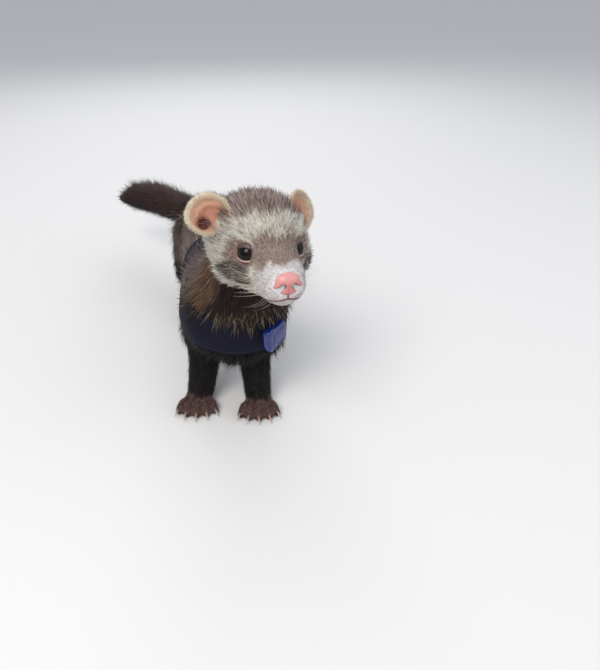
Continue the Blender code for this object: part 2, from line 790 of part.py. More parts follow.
def made_hindpaw(side):
    x, y, heading = HINDPAW[side]
    turn = math.radians(heading)
    way = Vector((math.sin(turn), -math.cos(turn), 0))
    heel = Vector((x, y, 0))
    middle = heel + way * 13
    front = heel + way * 26
    sole = [(heel.x, heel.y, 6.6, 6.3, 7), (middle.x, middle.y, 6.0, 7, 6.4), (front.x, front.y, 5.6, 8.6, 6)]
    offsets = [0.82 * offset for offset in TOE_OFFSETS]
    headings = [0.6 * heading for heading in TOE_HEADINGS]
    shapes, claws = toes(front + way * 3, heading, offsets, headings, TOE_REACH, 5.0)
    shapes.append(tube(sole, 12, 18))
    shapes.append(tube(HINDLEG[side]))
    return finished_paw(f"hindpaw_{side}", shapes, claws, ANKLE_LEVEL, 320)


def slab(point, normal, width):
    """A flat box across the body, as thick as a band is wide."""
    normal = Vector(normal).normalized()
    turn = normal.to_track_quat("Z", "Y").to_matrix().to_4x4()
    box = [Vector((x, y, z * width)) for x in (-80, 80) for y in (-110, 110) for z in (-0.5, 0.5)]
    placed = [list((turn @ corner + Vector(point)) * MM) for corner in box]
    faces = [(0, 1, 3, 2), (4, 6, 7, 5), (0, 4, 5, 1), (2, 3, 7, 6), (0, 2, 6, 4), (1, 5, 7, 3)]
    return np.array(placed), faces


def buckle(flesh, band):
    """A side-release buckle: a rounded block along the band, waisted where its two prongs are pressed."""
    surface = BVHTree.FromObject(flesh, bpy.context.evaluated_depsgraph_get())
    place, out, _, _ = surface.find_nearest(Vector(BUCKLE_AT) * MM)
    down = (Vector((0, 0.1, -1)) - out * out.dot(Vector((0, 0.1, -1)))).normalized()
    along = down.cross(out)
    length, width, thick = BUCKLE_SIZE
    points = []
    outline = 28
    for level, inset in ((0.0, 0.0), (0.62, 0.0), (0.9, 0.5), (1.0, 1.4)):
        for k in range(outline):
            turn = 2 * math.pi * k / outline
            c, s = math.cos(turn), math.sin(turn)
            a = (length / 2 - inset) * math.copysign(abs(c) ** 0.45, c)
            b = (width / 2 - inset) * math.copysign(abs(s) ** 0.45, s)
            b *= 1 - 0.16 * math.exp(-(((a + 1.5) / 3.2) ** 2))
            points.append(place / MM + along * a + down * b + out * (BAND_OUTSIDE - 0.6 + level * thick))
    points.append(place / MM + out * (BAND_OUTSIDE - 0.6))
    points.append(place / MM + out * (BAND_OUTSIDE - 0.6 + thick))
    points = np.array([list(point * MM) for point in points])
    block = add_object("harness_buckle", (points, grid_faces(4, outline)))
    boolean(block, grown(band, GAP), "DIFFERENCE")
    return largest_part(block)


def made_harness(flesh, parts):
    """A breast band and a girth that join at the sides, as a thin shell round the body, and the buckle."""
    form = copy_of(flesh, "form")
    cut_off(form, NECK_CUT[0] - NECK_CUT[1] * 12, -NECK_CUT[1])
    cut_off(form, HIPS_CUT[0], HIPS_CUT[1])
    softened(form, 12)
    thinned(form, 760)
    band = add_object("band", slab(*BREAST_BAND))
    cut_off(band, Vector(GIRTH[0]), Vector(GIRTH[1]))
    region = boolean(band, add_object("girth", slab(*GIRTH)), "UNION")
    shell = boolean(grown(form, BAND_OUTSIDE, "harness"), region, "INTERSECT")
    boolean(shell, grown(form, BAND_INSIDE), "DIFFERENCE")
    parts["harness"] = largest_part(shell)
    parts["harness_buckle"] = buckle(form, shell)
    drop(form)


def lock(root, way, lift, length, bend):
    """A flat tapered lock that leaves the tail, spreads a little and bends back along it."""
    side = way.cross(lift).normalized()
    rows = []
    for t, spread in ((0.0, 0.7), (0.3, 1.0), (0.62, 0.78)):
        rise = 0.62 * (1 - (1 - t) ** 1.7)
        run = 0.34 * t + 0.56 * t * t
        middle = root + (lift * rise + way * run) * length + side * bend * t * t
        heading = lift * 1.054 * (1 - t) ** 0.7 + way * (0.34 + 1.12 * t)
        normal = side.cross(heading).normalized()
        half = side * LOCK_WIDTH / 2 * spread
        thick = normal * LOCK_THICKNESS / 2 * (1 - 0.6 * t)
        rows.append([middle + half, middle + thick, middle - half, middle - thick])
    points = [point for row in rows for point in row]
    points.append(root - lift)
    points.append(root + (lift * 0.62 + way * 0.9) * length + side * bend)
    points = np.array([list(point * MM) for point in points])
    return points, grid_faces(3, 4)


def tail_locks():
    """A collection of locks set round the tail's core in a slow spiral, longest above."""
    rng = random.Random(LOCK_SEED)
    rows = cubic_through(TAIL, np.linspace(0, 1, 101))
    locks = bpy.data.collections.new("locks")
    bpy.context.scene.collection.children.link(locks)
    turn = 0.0
    for k in range(TAIL_LOCKS):
        place = 0.13 + 0.86 * (k + 0.5) / TAIL_LOCKS
        at = min(99, int(place * 100))
        way = Vector(rows[at + 1, :3] - rows[at, :3]).normalized()
        across = way.cross(Vector((0, 0, 1))).normalized()
        above = across.cross(way)
        turn += 2.39996 + rng.uniform(-0.25, 0.25)
        lift = (across * math.cos(turn) + above * math.sin(turn)).normalized()
        lift = (lift + way * 0.9 * max(0.0, place - 0.75) / 0.25).normalized()
        root = Vector(rows[at, :3]) + lift * max(rows[at, 3] - 2.4, 0.4)
        length = LOCK_LENGTH * (1 + 0.25 * math.sin(turn)) * min(1.0, 0.62 + 1.6 * place)
        shape = lock(root, way, lift, length * rng.uniform(0.88, 1.12), rng.uniform(-2.5, 2.5))
        one = add_object("lock", shape)
        bpy.context.scene.collection.objects.unlink(one)
        locks.objects.link(one)
    return locks


def made_tail():
    """A tapering core with puffed locks round it."""
    tail = add_object("tail", tube(TAIL, 14, 10))
    locks = tail_locks()
    joined = tail.modifiers.new("join", "BOOLEAN")
    joined.operation = "UNION"
    joined.operand_type = "COLLECTION"
    joined.collection = locks
    joined.solver = "MANIFOLD"
    applied(tail)
    for one in list(locks.objects):
        drop(one)
    bpy.data.collections.remove(locks)
    return largest_part(tail)


def main():
    for obj in list(bpy.data.objects):
        bpy.data.objects.remove(obj)
    parts = {}
    flesh = whole_flesh()
    made_head(flesh, parts)
    made_body(flesh, parts)
    made_harness(flesh, parts)
    for side in ("left", "right"):
        cut_off(parts[f"foreleg_{side}"], Vector((0, 0, WRIST_LEVEL)), Vector((0, 0, -1)))
        cut_off(parts[f"hindleg_{side}"], Vector((0, 0, ANKLE_LEVEL)), Vector((0, 0, -1)))
        parts[f"forepaw_{side}"] = made_forepaw(side)
        parts[f"hindpaw_{side}"] = made_hindpaw(side)
    parts["tail"] = made_tail()
    boolean(parts["hips"], add_object("root", tube(TAIL, 14, 10, GAP)), "DIFFERENCE")
    largest_part(parts["hips"])
    drop(flesh)
    for name, obj in parts.items():
        obj.name = name
        obj.data.transform(Matrix.Translation(ORIGIN_SHIFT))
        painted(obj, *next(paint for start, paint in PAINTS if name.startswith(start)))


main()
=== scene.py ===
# %% [markdown]
# # A ferret in its harness, life size
#
# The solids of this still model are a frame: they give the size, the stance and the outline out to the tips
# of the coat. This script dresses them. One smooth skin takes the place of all the nodes of flesh, a coat
# of small solid tufts grows from it, and eyes, nose, ears, claws, whiskers and harness are made one by one.
# Everything is worked out in millimetres, in the animal's own axes: it faces -Y and its left side is +X.

# %% Load the frame and keep its box
import math

import bpy
import numpy as np
from mathutils import Matrix, Vector
from mathutils.bvhtree import BVHTree


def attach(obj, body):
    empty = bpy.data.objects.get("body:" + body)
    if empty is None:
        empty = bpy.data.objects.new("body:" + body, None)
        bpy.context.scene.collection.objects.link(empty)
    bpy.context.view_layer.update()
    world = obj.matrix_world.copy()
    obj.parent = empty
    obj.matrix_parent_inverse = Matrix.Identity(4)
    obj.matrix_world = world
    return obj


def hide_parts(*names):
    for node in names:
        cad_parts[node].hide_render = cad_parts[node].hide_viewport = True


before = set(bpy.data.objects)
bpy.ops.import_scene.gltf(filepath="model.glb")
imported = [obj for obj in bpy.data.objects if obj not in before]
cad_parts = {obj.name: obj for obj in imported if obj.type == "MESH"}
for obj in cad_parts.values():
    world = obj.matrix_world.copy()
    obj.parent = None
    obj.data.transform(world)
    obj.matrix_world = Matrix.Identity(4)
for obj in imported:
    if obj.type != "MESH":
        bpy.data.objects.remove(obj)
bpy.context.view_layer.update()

MM = 0.001
# The solids are centred over the origin; the animal's own axes start under its breast.
SHIFT = np.array([9.0, -111.1, 0.0])
rng = np.random.default_rng(11)
print("nodes:", sorted(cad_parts))

# %% [markdown]
# ## The camera comes first
#
# The picture looks down at the animal from in front and a little above its head. The camera is placed
# before anything is modelled, so that every shape can be held against the picture from the start.
#
# Blender lays the sensor's 36 mm along the longer side of the frame. Here 578 pixels of focal length go
# with a frame 670 pixels high, so the lens is 36 mm times 578 over 670, or 31.1 mm.

# %% The camera
CAMERA_AT = np.array([-25.0, -294.7, 250.0])
CAMERA_HEADING = math.radians(14.0)
CAMERA_DOWN = math.radians(33.5)
FOCAL_PIXELS = 578
FRAME_HEIGHT = 670
SENSOR_MM = 36.0


def placed(points):
    """Points in the animal's millimetres, moved over the origin and turned into metres."""
    return (np.asarray(points, float) + SHIFT) * MM


camera_data = bpy.data.cameras.new("camera")
camera_data.sensor_width = SENSOR_MM
camera_data.lens = SENSOR_MM * FOCAL_PIXELS / FRAME_HEIGHT
camera_data.clip_start = 0.01
camera = bpy.data.objects.new("camera", camera_data)
camera.location = placed(CAMERA_AT)
camera.rotation_euler = (math.pi / 2 - CAMERA_DOWN, 0, -CAMERA_HEADING)
bpy.context.scene.collection.objects.link(camera)
bpy.context.scene.camera = camera
# Colours are shown as they are, without a film curve, so that the dark legs stay dark.
bpy.context.scene.view_settings.view_transform = "Standard"

# %% [markdown]
# ## Arrays into meshes
#
# A mesh is a list of points and a list of faces that name their corners. Written with `foreach_set`, both
# go in as whole arrays, which is hundreds of times faster than one call for each point.


# %% Mesh helpers
def mesh_object(name, points, *faces):
    """One object from points in the animal's millimetres and arrays of three or four corners a face."""
    mesh = bpy.data.meshes.new(name)
    sizes = np.concatenate([np.full(len(some), some.shape[1]) for some in faces])
    corners = np.concatenate([np.asarray(some).ravel() for some in faces])
    mesh.vertices.add(len(points))
    mesh.loops.add(len(corners))
    mesh.polygons.add(len(sizes))
    mesh.vertices.foreach_set("co", placed(points).astype(np.float32).ravel())
    mesh.loops.foreach_set("vertex_index", corners.astype(np.int32))
    mesh.polygons.foreach_set("loop_start", (np.cumsum(sizes) - sizes).astype(np.int32))
    mesh.polygons.foreach_set("use_smooth", np.ones(len(sizes), bool))
    mesh.update(calc_edges=True)
    obj = bpy.data.objects.new(name, mesh)
    bpy.context.scene.collection.objects.link(obj)
    return obj


def ring_faces(rings, sides, closed=False):
    """Quads between neighbouring rings of a grid; closed joins the last ring to the first."""
    ring = np.arange(rings if closed else rings - 1)[:, None]
    side = np.arange(sides)[None]
    following, ahead = (ring + 1) % rings, (side + 1) % sides
    quads = [ring * sides + side, ring * sides + ahead, following * sides + ahead, following * sides + side]
    return np.stack(np.broadcast_arrays(*quads), -1).reshape(-1, 4)


def capped(grid):
    """A grid of rings as points and faces, its two ends closed by a fan to the middle of each end ring."""
    rings, sides = grid.shape[:2]
    points = np.concatenate([grid.reshape(-1, 3), grid[0].mean(0)[None], grid[-1].mean(0)[None]])
    side, ahead, last = np.arange(sides), (np.arange(sides) + 1) % sides, (rings - 1) * sides
    first_fan = np.stack([np.full(sides, rings * sides), ahead, side], -1)
    last_fan = np.stack([np.full(sides, rings * sides + 1), last + side, last + ahead], -1)
    return points, ring_faces(rings, sides), np.concatenate([first_fan, last_fan])


def joined(*shapes):
    """Several shapes of points, quads and triangles as one."""
    points, quads, fans, count = [], [], [], 0
    for shape_points, shape_quads, shape_fans in shapes:
        points.append(shape_points)
        quads.append(shape_quads + count)
        fans.append(shape_fans + count)
        count += len(shape_points)
    return np.concatenate(points), np.concatenate(quads), np.concatenate(fans)


def points_of(obj):
    """The mesh's points in the animal's millimetres."""
    flat = np.empty(3 * len(obj.data.vertices))
    obj.data.vertices.foreach_get("co", flat)
    return flat.reshape(-1, 3) / MM - SHIFT


def put_points(obj, points):
    """The mesh's points set from the animal's millimetres."""
    obj.data.vertices.foreach_set("co", placed(points).astype(np.float32).ravel())
    obj.data.update()


def normals_of(obj):
    """The outward direction at every point of the mesh."""
    flat = np.empty(3 * len(obj.data.vertices), np.float32)
    obj.data.vertex_normals.foreach_get("vector", flat)
    return flat.reshape(-1, 3).astype(float)


def triangles_of(obj):
    """Three corners for each triangle that the mesh is drawn with."""
    obj.data.calc_loop_triangles()
    flat = np.empty(3 * len(obj.data.loop_triangles), np.int32)
    obj.data.loop_triangles.foreach_get("vertices", flat)
    return flat.reshape(-1, 3)


def modified(obj, kind, **settings):
    """The object with one modifier added and made part of its mesh."""
    modifier = obj.modifiers.new("shape", kind)
    for setting, value in settings.items():
        setattr(modifier, setting, value)
    bpy.context.view_layer.update()
    mesh = bpy.data.meshes.new_from_object(obj.evaluated_get(bpy.context.evaluated_depsgraph_get()))
    obj.modifiers.clear()
    old, obj.data = obj.data, mesh
    bpy.data.meshes.remove(old)
    return obj


def softened(obj, turns, weight=0.5):
    """Every point moves part of the way to the middle of its neighbours, several times over."""
    points = points_of(obj)
    ends = np.empty(2 * len(obj.data.edges), np.int32)
    obj.data.edges.foreach_get("vertices", ends)
    a, b = ends.reshape(-1, 2).T
    count = np.bincount(ends, minlength=len(points))[:, None]
    for _ in range(turns):
        total = np.stack([
            np.bincount(a, points[b, k], len(points)) + np.bincount(b, points[a, k], len(points))
            for k in range(3)
        ], -1)
        points = points + weight * (total / count - points)
    put_points(obj, points)
    return obj


def unit(vectors):
    """Each vector divided by its own length."""
    return vectors / np.maximum(np.linalg.norm(vectors, axis=-1, keepdims=True), 1e-9)


def ease(x, low, high):
    """Nought below low, one above high, and a smooth rise between."""
    t = np.clip((x - low) / (high - low), 0, 1)
    return t * t * (3 - 2 * t)


def srgb(red, green, blue):
    """A colour as a picture shows it, 0 to 255, as the light values that a shader takes."""
    c = np.array([red, green, blue], float) / 255
    return np.where(c < 0.04045, c / 12.92, ((c + 0.055) / 1.055) ** 2.4)


def plain(colour, count):
    """One colour for each of so many points."""
    return np.tile(colour, (count, 1))


def store_colour(obj, colours):
    """A colour kept at every point of the mesh, for the material to read as its marking."""
    layer = obj.data.attributes.new("marking", "FLOAT_COLOR", "POINT")
    values = np.concatenate([colours, np.ones((len(colours), 1))], 1)
    layer.data.foreach_set("color", values.astype(np.float32).ravel())


# %% [markdown]
# ## The body as tubes
#
# A ferret is a long, nearly even trunk on short legs. Such a body could be sculpted by hand. A table of
# rows can be read, measured and changed, so each limb is a smooth curve through a few rows that give its
# middle line, half-width and half-height. They describe the animal out to the tips of its coat, as the
# solids do.

# %% The rows of the body
TRUNK = [
    (20, -3, 122, 20, 17),
    (19, 2, 106, 24, 22),
    (17, 8, 88, 28.5, 27.5),
    (12.5, 22, 70.5, 31.5, 30.5),
    (9, 44, 65, 30, 28.5),
    (9, 70, 66, 26.5, 26),
    (11, 98, 67, 24, 24.5),
    (13, 124, 67.5, 23.5, 24.5),
    (12.5, 148, 65, 23, 24.5),
    (9.5, 165, 64, 19.5, 20.5),
    (5, 173, 64, 12, 13),
]
FORELEG = {
    "left": [
        (27, 22, 62, 13.5, 16),
        (26, 20, 50, 13, 14),
        (21, 12, 34, 11, 11.5),
        (20, 4, 20, 9.8, 10),
        (20, 0, 8, 8.5, 9),
    ],
    "right": [
        (-9, 30, 62, 13.5, 16),
        (-11, 28, 50, 13, 14),
        (-10.5, 20, 34, 11, 11.5),
        (-13.5, 14, 20, 9.8, 10),
        (-16.5, 12, 8, 8.5, 9),
    ],
}
SHOULDERS = [
    ((25, 6, 59), (17, 20, 21)),
    ((-4.5, 12, 61), (18, 20, 20)),
    ((10, 6, 57), (24, 21, 22)),
]
HINDLEG = {
    "left": [
        (31, 150, 66, 13, 21),
        (32, 143, 54, 14.5, 18),
        (34.5, 135, 41, 12.5, 13),
        (34, 145, 29, 9.6, 10),
        (33.5, 156, 19, 7.4, 8),
        (33.5, 161, 9, 6.6, 7.2),
    ],
    "right": [
        (-5, 144, 66, 13, 21),
        (-6, 133, 54, 14.5, 18),
        (-9, 124, 41, 12.5, 13),
        (-9, 134, 29, 9.6, 10),
        (-8.5, 145, 19, 7.4, 8),
        (-8.5, 150, 9, 6.6, 7.2),
    ],
}
TAIL = [
    (5, 168, 65, 9, 9.5),
    (-3, 179, 67, 8.4, 8.4),
    (-16, 197, 67.5, 7.6, 7.6),
    (-31, 221, 65.5, 6.6, 6.6),
    (-46, 247, 59.5, 5, 5),
    (-57, 268, 52, 2.6, 2.6),
]
FOREPAW = {"left": (19.3, -5, -10), "right": (-18.5, 7.5, -13)}
HINDPAW = {"left": (33.5, 161, 5), "right": (-8.5, 150, -6)}
TOE_OFFSETS = (-7.8, -4.2, 0.0, 4.2, 7.8)
TOE_HEADINGS = (-27, -12, 0, 12, 27)
TOE_REACH = (8.5, 11.0, 12.0, 11.0, 8.5)


def run_of(line):
    """How far along a line each of its points lies: the running total of the lengths of its steps."""
    return np.concatenate([[0.0], np.cumsum(np.linalg.norm(np.diff(line, axis=0), axis=1))])


def along(rows, places):
    """Rows read at places from 0 to 1 along their length, on a smooth cubic curve through all of them."""
    rows = np.asarray(rows, float)
    at = run_of(rows[:, :3])
    slope = np.gradient(rows, at, axis=0)
    wanted = np.asarray(places) * at[-1]
    i = np.clip(np.searchsorted(at, wanted, side="right") - 1, 0, len(rows) - 2)
    span = (at[i + 1] - at[i])[:, None]
    t = (wanted - at[i])[:, None] / span
    return (
        (2 * t**3 - 3 * t**2 + 1) * rows[i]
        + (t**3 - 2 * t**2 + t) * span * slope[i]
        + (3 * t**2 - 2 * t**3) * rows[i + 1]
        + (t**3 - t**2) * span * slope[i + 1]
    )


def tube(rows, rings=24, sides=24, dome=0.8):
    """A closed tube: an ellipse set square to the middle line at each place, and a dome of shrinking ellipses
    at either end."""
    rows = along(rows, np.linspace(0, 1, rings))
    middle, radii = rows[:, :3], rows[:, 3:5]
    tangent = unit(np.gradient(middle, axis=0))
    steps = np.array([0.92, 0.7, 0.38])
    back, on = -tangent[0] * radii[0].min() * dome, tangent[-1] * radii[-1].min() * dome
    shrink = np.sqrt(1 - steps**2)[:, None]
    middle = np.concatenate([middle[0] + steps[:, None] * back, middle, middle[-1] + steps[::-1, None] * on])
    radii = np.concatenate([radii[0] * shrink, radii, radii[-1] * shrink[::-1]])
    tangent = np.concatenate([tangent[[0, 0, 0]], tangent, tangent[[-1, -1, -1]]])
    across = unit(np.array([1.0, 0, 0]) - tangent[:, :1] * tangent)
    over = np.cross(tangent, across)
    angle = np.linspace(0, 2 * np.pi, sides, endpoint=False)[None, :, None]
    grid = middle[:, None] + across[:, None] * radii[:, None, :1] * np.cos(angle)
    grid = grid + over[:, None] * radii[:, None, 1:] * np.sin(angle)
    return capped(grid)


def ball(centre, radii, rings=12, sides=18):
    """An ellipsoid from rings of latitude."""
    down = np.linspace(0.08, np.pi - 0.08, rings)[:, None]
    around = np.linspace(0, 2 * np.pi, sides, endpoint=False)[None]
    east, north, high = np.sin(down) * np.cos(around), np.sin(down) * np.sin(around), np.cos(down)
    grid = np.stack(np.broadcast_arrays(east, north, high), -1)
    return capped(grid * np.asarray(radii, float) + np.asarray(centre, float))


# %% [markdown]
# ## The head's own axes
#
# The skull is long and flat, with a short blunt muzzle and full cheeks. The head is turned, tipped and
# rolled a little, and placing its parts in the body's axes would mean working out every eye and whisker
# twice. So they are placed forward, left and up from a point between the ears, alike on both sides, and
# turned once.

# %% The head
HEAD_AT = np.array([21.3, -14.0, 127.0])
HEAD_HEADING, HEAD_PITCH, HEAD_ROLL = math.radians(7.1), math.radians(3.0), math.radians(-3.2)
# Rows along the head: forward, top, widest level, bottom, half-width, squareness.
SKULL = [
    (-20, 12, -4, -20, 18, 1.0),
    (-12, 18, -4, -24, 24, 1.0),
    (0, 21.5, -3, -25, 26, 0.95),
    (10, 20, -4, -25, 25.5, 0.95),
    (19, 16.5, -5, -24.5, 22, 0.95),
    (26, 12.5, -6, -24, 17.8, 0.92),
    (33, 7, -8, -23, 14, 0.9),
    (40, 2.5, -9.5, -22, 12.2, 0.9),
    (46, 0, -10.5, -20.5, 10, 0.9),
    (50, -3, -11, -17, 6.5, 0.95),
]
EYE_CENTRE, EYE_AXIS, EYE_RADIUS = (24.3, 11.4, -0.9), (0.66, 0.72, 0.2), 5.6
EYE_OPENING = (5.1, 3.0)


def head_axes():
    """The head's forward, left and up directions as columns: heading, then pitch, then roll about forward."""
    ahead = Vector((
        math.sin(HEAD_HEADING) * math.cos(HEAD_PITCH),
        -math.cos(HEAD_HEADING) * math.cos(HEAD_PITCH),
        math.sin(HEAD_PITCH),
    ))
    left = Vector((math.cos(HEAD_HEADING), math.sin(HEAD_HEADING), 0))
    roll = Matrix.Rotation(HEAD_ROLL, 3, ahead)
    return np.array([list(v) for v in (ahead, roll @ left, roll @ ahead.cross(left))]).T


HEAD_AXES = head_axes()


def from_head(points):
    """Points given forward, left and up in the head, as points of the body."""
    return np.asarray(points, float) @ HEAD_AXES.T + HEAD_AT


def in_head(points):
    """Forward, left and up of the head for points of the body: the turn above, undone."""
    return (points - HEAD_AT) @ HEAD_AXES


def head_way(direction):
    """A direction given in the head's axes, as a unit direction of the body."""
    return unit(np.asarray(direction, float) @ HEAD_AXES.T)


def skull(rings=40, sides=40):
    """Rounded cross-sections along the head: cosine across, sine up, each raised to the row's squareness."""
    rows = along([(r[0], 0, 0, *r[1:]) for r in SKULL], np.linspace(0, 1, rings))
    ahead, _, _, top, level, bottom, half, square = rows.T[:, :, None]
    angle = np.linspace(0, 2 * np.pi, sides, endpoint=False)[None]
    c, s = np.cos(angle), np.sin(angle)
    across = half * np.sign(c) * np.abs(c) ** square
    high = np.where(s > 0, top - level, level - bottom)
    grid = np.stack([ahead + 0 * c, across, level + high * np.sign(s) * np.abs(s) ** square], -1)
    return capped(from_head(grid))


def head_ball(centre, radii, rings=12, sides=18):
    """An ellipsoid whose middle and radii are given in the head's axes."""
    points, quads, fans = ball(centre, radii, rings, sides)
    return from_head(points), quads, fans


def muzzle():
    """Whisker pads and cheeks on both sides, and the chin."""
    pads = [head_ball((43.5, 5.2 * side, -11.5), (7.5, 6, 6.2)) for side in (-1, 1)]
    cheeks = [head_ball((12, 16 * side, -9), (12, 9.5, 12.5)) for side in (-1, 1)]
    return [*pads, *cheeks, head_ball((41.5, 0, -18), (7, 5.5, 4.6))]


# %% [markdown]
# ## Paws
#
# A ferret walks on five toes that fan out from a small palm. Each toe is a short tube bent down at its
# knuckle. The forepaw adds a palm and a heel, and the hindpaw a long sole that lies flat. A whole paw could
# be one sculpted form, but tubes keep each toe's place and turn in a short table.


# %% The paws
def heading_of(degrees):
    """The way a paw or toe points: straight ahead is -Y, turned to the animal's left."""
    turn = math.radians(degrees)
    return np.array([math.sin(turn), -math.cos(turn), 0.0])


def toes_of(centre, heading, spread, fan, level):
    """For every toe its three rows, and where its claw leaves it and which way."""
    left = -np.cross(heading_of(heading), [0, 0, 1.0])
    rows, claws = [], []
    for offset, turn, reach in zip(TOE_OFFSETS, TOE_HEADINGS, TOE_REACH):
        way = heading_of(heading + fan * turn)
        start = centre + left * offset * spread
        places = (start, start + way * reach * 0.5, start + way * reach)
        heights = (level, level + 0.4, 2.3)
        sizes = ((2.7, 2.7), (2.75, 2.6), (2.5, 2.4))
        rows.append([(p[0], p[1], z, *size) for p, z, size in zip(places, heights, sizes)])
        tip = places[2] + way * 1.2
        claws.append((np.array([tip[0], tip[1], 3.9]), way))
    return rows, claws


def forepaw(side):
    """Five toes, a palm and a heel, and where each claw leaves its toe."""
    x, y, heading = FOREPAW[side]
    centre, way = np.array([x, y, 0.0]), heading_of(heading)
    palm, heel = centre - way * 1.5, centre - way * 7
    rows, claws = toes_of(centre + way * 2, heading, 1.0, 1.0, 5.2)
    shapes = [tube(toe, 8, 14) for toe in rows]
    shapes.append(ball((palm[0], palm[1], 5.0), (9.2, 8.0, 5.6)))
    shapes.append(ball((heel[0], heel[1], 4.6), (6.0, 5.2, 5.2)))
    return shapes, claws


def hindpaw(side):
    """Five toes at the end of a long sole that lies flat from the heel on, and where the claws leave."""
    x, y, heading = HINDPAW[side]
    heel, way = np.array([x, y, 0.0]), heading_of(heading)
    middle, front = heel + way * 13, heel + way * 26
    rows, claws = toes_of(front + way * 3, heading, 0.82, 0.6, 5.0)
    sole = [(*heel[:2], 6.6, 6.3, 7), (*middle[:2], 6.0, 7, 6.4), (*front[:2], 5.6, 8.6, 6)]
    return [*(tube(toe, 8, 14) for toe in rows), tube(sole, 12, 18)], claws


# %% [markdown]
# ## One skin
#
# A real coat grows on one skin, without a seam where a leg meets the trunk. Joining the tubes with Booleans
# would leave a crease at each. A voxel remesh fuses them into one closed surface instead, and many turns of
# smoothing let the limbs flow into the trunk. Below the wrists the smoothing fades out, so that the toes
# stay apart.

# %% The flesh out to the coat's tips
VOXEL = 1.0
TRUNK_TURNS, LIMB_TURNS, FIRST_TURNS = 57, 16, 4
CREASE_DEPTH, CREASE_REACH = 1.9, 1.0
PAW_SHAPES, CLAWS, CREASES = [], {}, []
for limb, make in (("forepaw", forepaw), ("hindpaw", hindpaw)):
    for paw_side in ("left", "right"):
        made, claws = make(paw_side)
        PAW_SHAPES += made
        CLAWS[f"{limb}_{paw_side}"] = claws
        for (tip, way), (next_tip, next_way) in zip(claws[:-1], claws[1:]):
            between, back = (tip + next_tip) / 2, unit(way + next_way)
            CREASES.append(between - back * np.linspace(-2, 10, 16)[:, None])

shapes = [tube(TRUNK, 40, 32), skull(), *muzzle()]
shapes += [tube(legs[side]) for legs in (FORELEG, HINDLEG) for side in legs]
shapes += [ball(centre, radii) for centre, radii in SHOULDERS]
shapes += [tube(TAIL, 30, 18)]
skin = mesh_object("skin", *joined(*shapes, *PAW_SHAPES))
modified(skin, "REMESH", mode="VOXEL", voxel_size=VOXEL * MM)
above_paws = ease(points_of(skin)[:, 2:], 9, 17)
softened(skin, FIRST_TURNS)
softened(skin, LIMB_TURNS, 0.5 * above_paws)
head_start = head_way((-0.85, 0, -0.53))
body_only = np.clip((points_of(skin) - from_head((-2, 0, 0))) @ head_start / 12, 0, 1)[:, None]
tail_too = 1 - ease(points_of(skin)[:, 1:2], 172, 182)
softened(skin, TRUNK_TURNS, 0.5 * body_only * above_paws * tail_too)


def dented(points, centre, direction, depth, reach):
    """Points near a place of the head moved along a direction, by a bell-shaped share of the depth."""
    away = np.linalg.norm(points - from_head(centre), axis=1) / reach
    return points + head_way(direction) * (depth * np.exp(-(away**2)))[:, None]


flesh_points = points_of(skin)
for s in (-1, 1):
    inward = (-EYE_AXIS[0], -EYE_AXIS[1] * s, -EYE_AXIS[2])
    flesh_points = dented(flesh_points, (28.5, 16.8 * s, 0.2), inward, 2.9, 6.0)
    flesh_points = dented(flesh_points, (33, 9.5 * s, -4.5), (0, -s, -0.3), 0.9, 6.0)


def pressed(points, path, depth, reach, way):
    """Points near a path, moved by the depth times e to the minus squared gap over reach, and that share."""
    away = np.linalg.norm(points[:, None] - path[None], axis=2).min(1) / reach
    share = np.exp(-(away**2))
    return points + way * (depth * share)[:, None], share


near_toes = np.flatnonzero(flesh_points[:, 2] < 13)
level_toes = flesh_points[near_toes] * (1, 1, 0)
_, crease = pressed(level_toes, np.concatenate(CREASES) * (1, 1, 0), 0.0, CREASE_REACH, np.zeros(3))
flesh_points[near_toes, 2] -= CREASE_DEPTH * crease * ease(flesh_points[near_toes, 2], 3.0, 6.0)
put_points(skin, flesh_points)
print("skin:", len(skin.data.polygons), "quads")

# %% [markdown]
# ## Which way the coat lies
#
# Fur follows the limb it grows on: back from the nose, along the trunk and down the legs. Each limb is a
# row of stations with a direction. A point of the skin listens to every limb, most to the one whose surface
# it is nearest, so that the lie turns smoothly where one limb meets the next.

# %% Limbs as fields
# For each limb: hair length and how steeply it stands, at its first and at its last station.
HAIR = {
    "head": ((2.0, 12), (6.0, 22)),
    "trunk": ((10.5, 25), (12.0, 20)),
    "foreleg": ((8.5, 20), (4.0, 15)),
    "hindleg": ((9.5, 19), (4.0, 15)),
    "forepaw": ((2.6, 13), (1.9, 10)),
    "hindpaw": ((2.6, 13), (1.9, 10)),
    "tail": ((12.0, 40), (15.0, 34)),
}
LIE_BEND = 14.0
REACH_OF_A_LIMB = 3.0


def stations(rows, count):
    """Middles, radii and directions at even places along a limb."""
    rows = along(rows, np.linspace(0, 1, count))
    return rows[:, :3], rows[:, 3:5].mean(1), unit(np.gradient(rows[:, :3], axis=0))


def head_stations(count=16):
    """From the nose back to the nape, through the middle of each cross-section."""
    rows = along([(r[0], 0, 0, *r[1:]) for r in SKULL[::-1]], np.linspace(0, 1, count))
    ahead, _, _, top, _, bottom, half, _ = rows.T
    middle = from_head(np.stack([ahead, 0 * ahead, (top + bottom) / 2], -1))
    return middle, ((top - bottom) / 2 + half) / 2, np.tile(head_way((-1, 0, 0)), (count, 1))


def paw_stations(place, back, front, count=8):
    """Even places along a sole, from behind the heel to the toes."""
    x, y, heading = place
    way = heading_of(heading)
    steps = np.linspace(back, front, count)[:, None]
    return np.array([x, y, 4.5]) + steps * way, np.full(count, 7.0), np.tile(way, (count, 1))


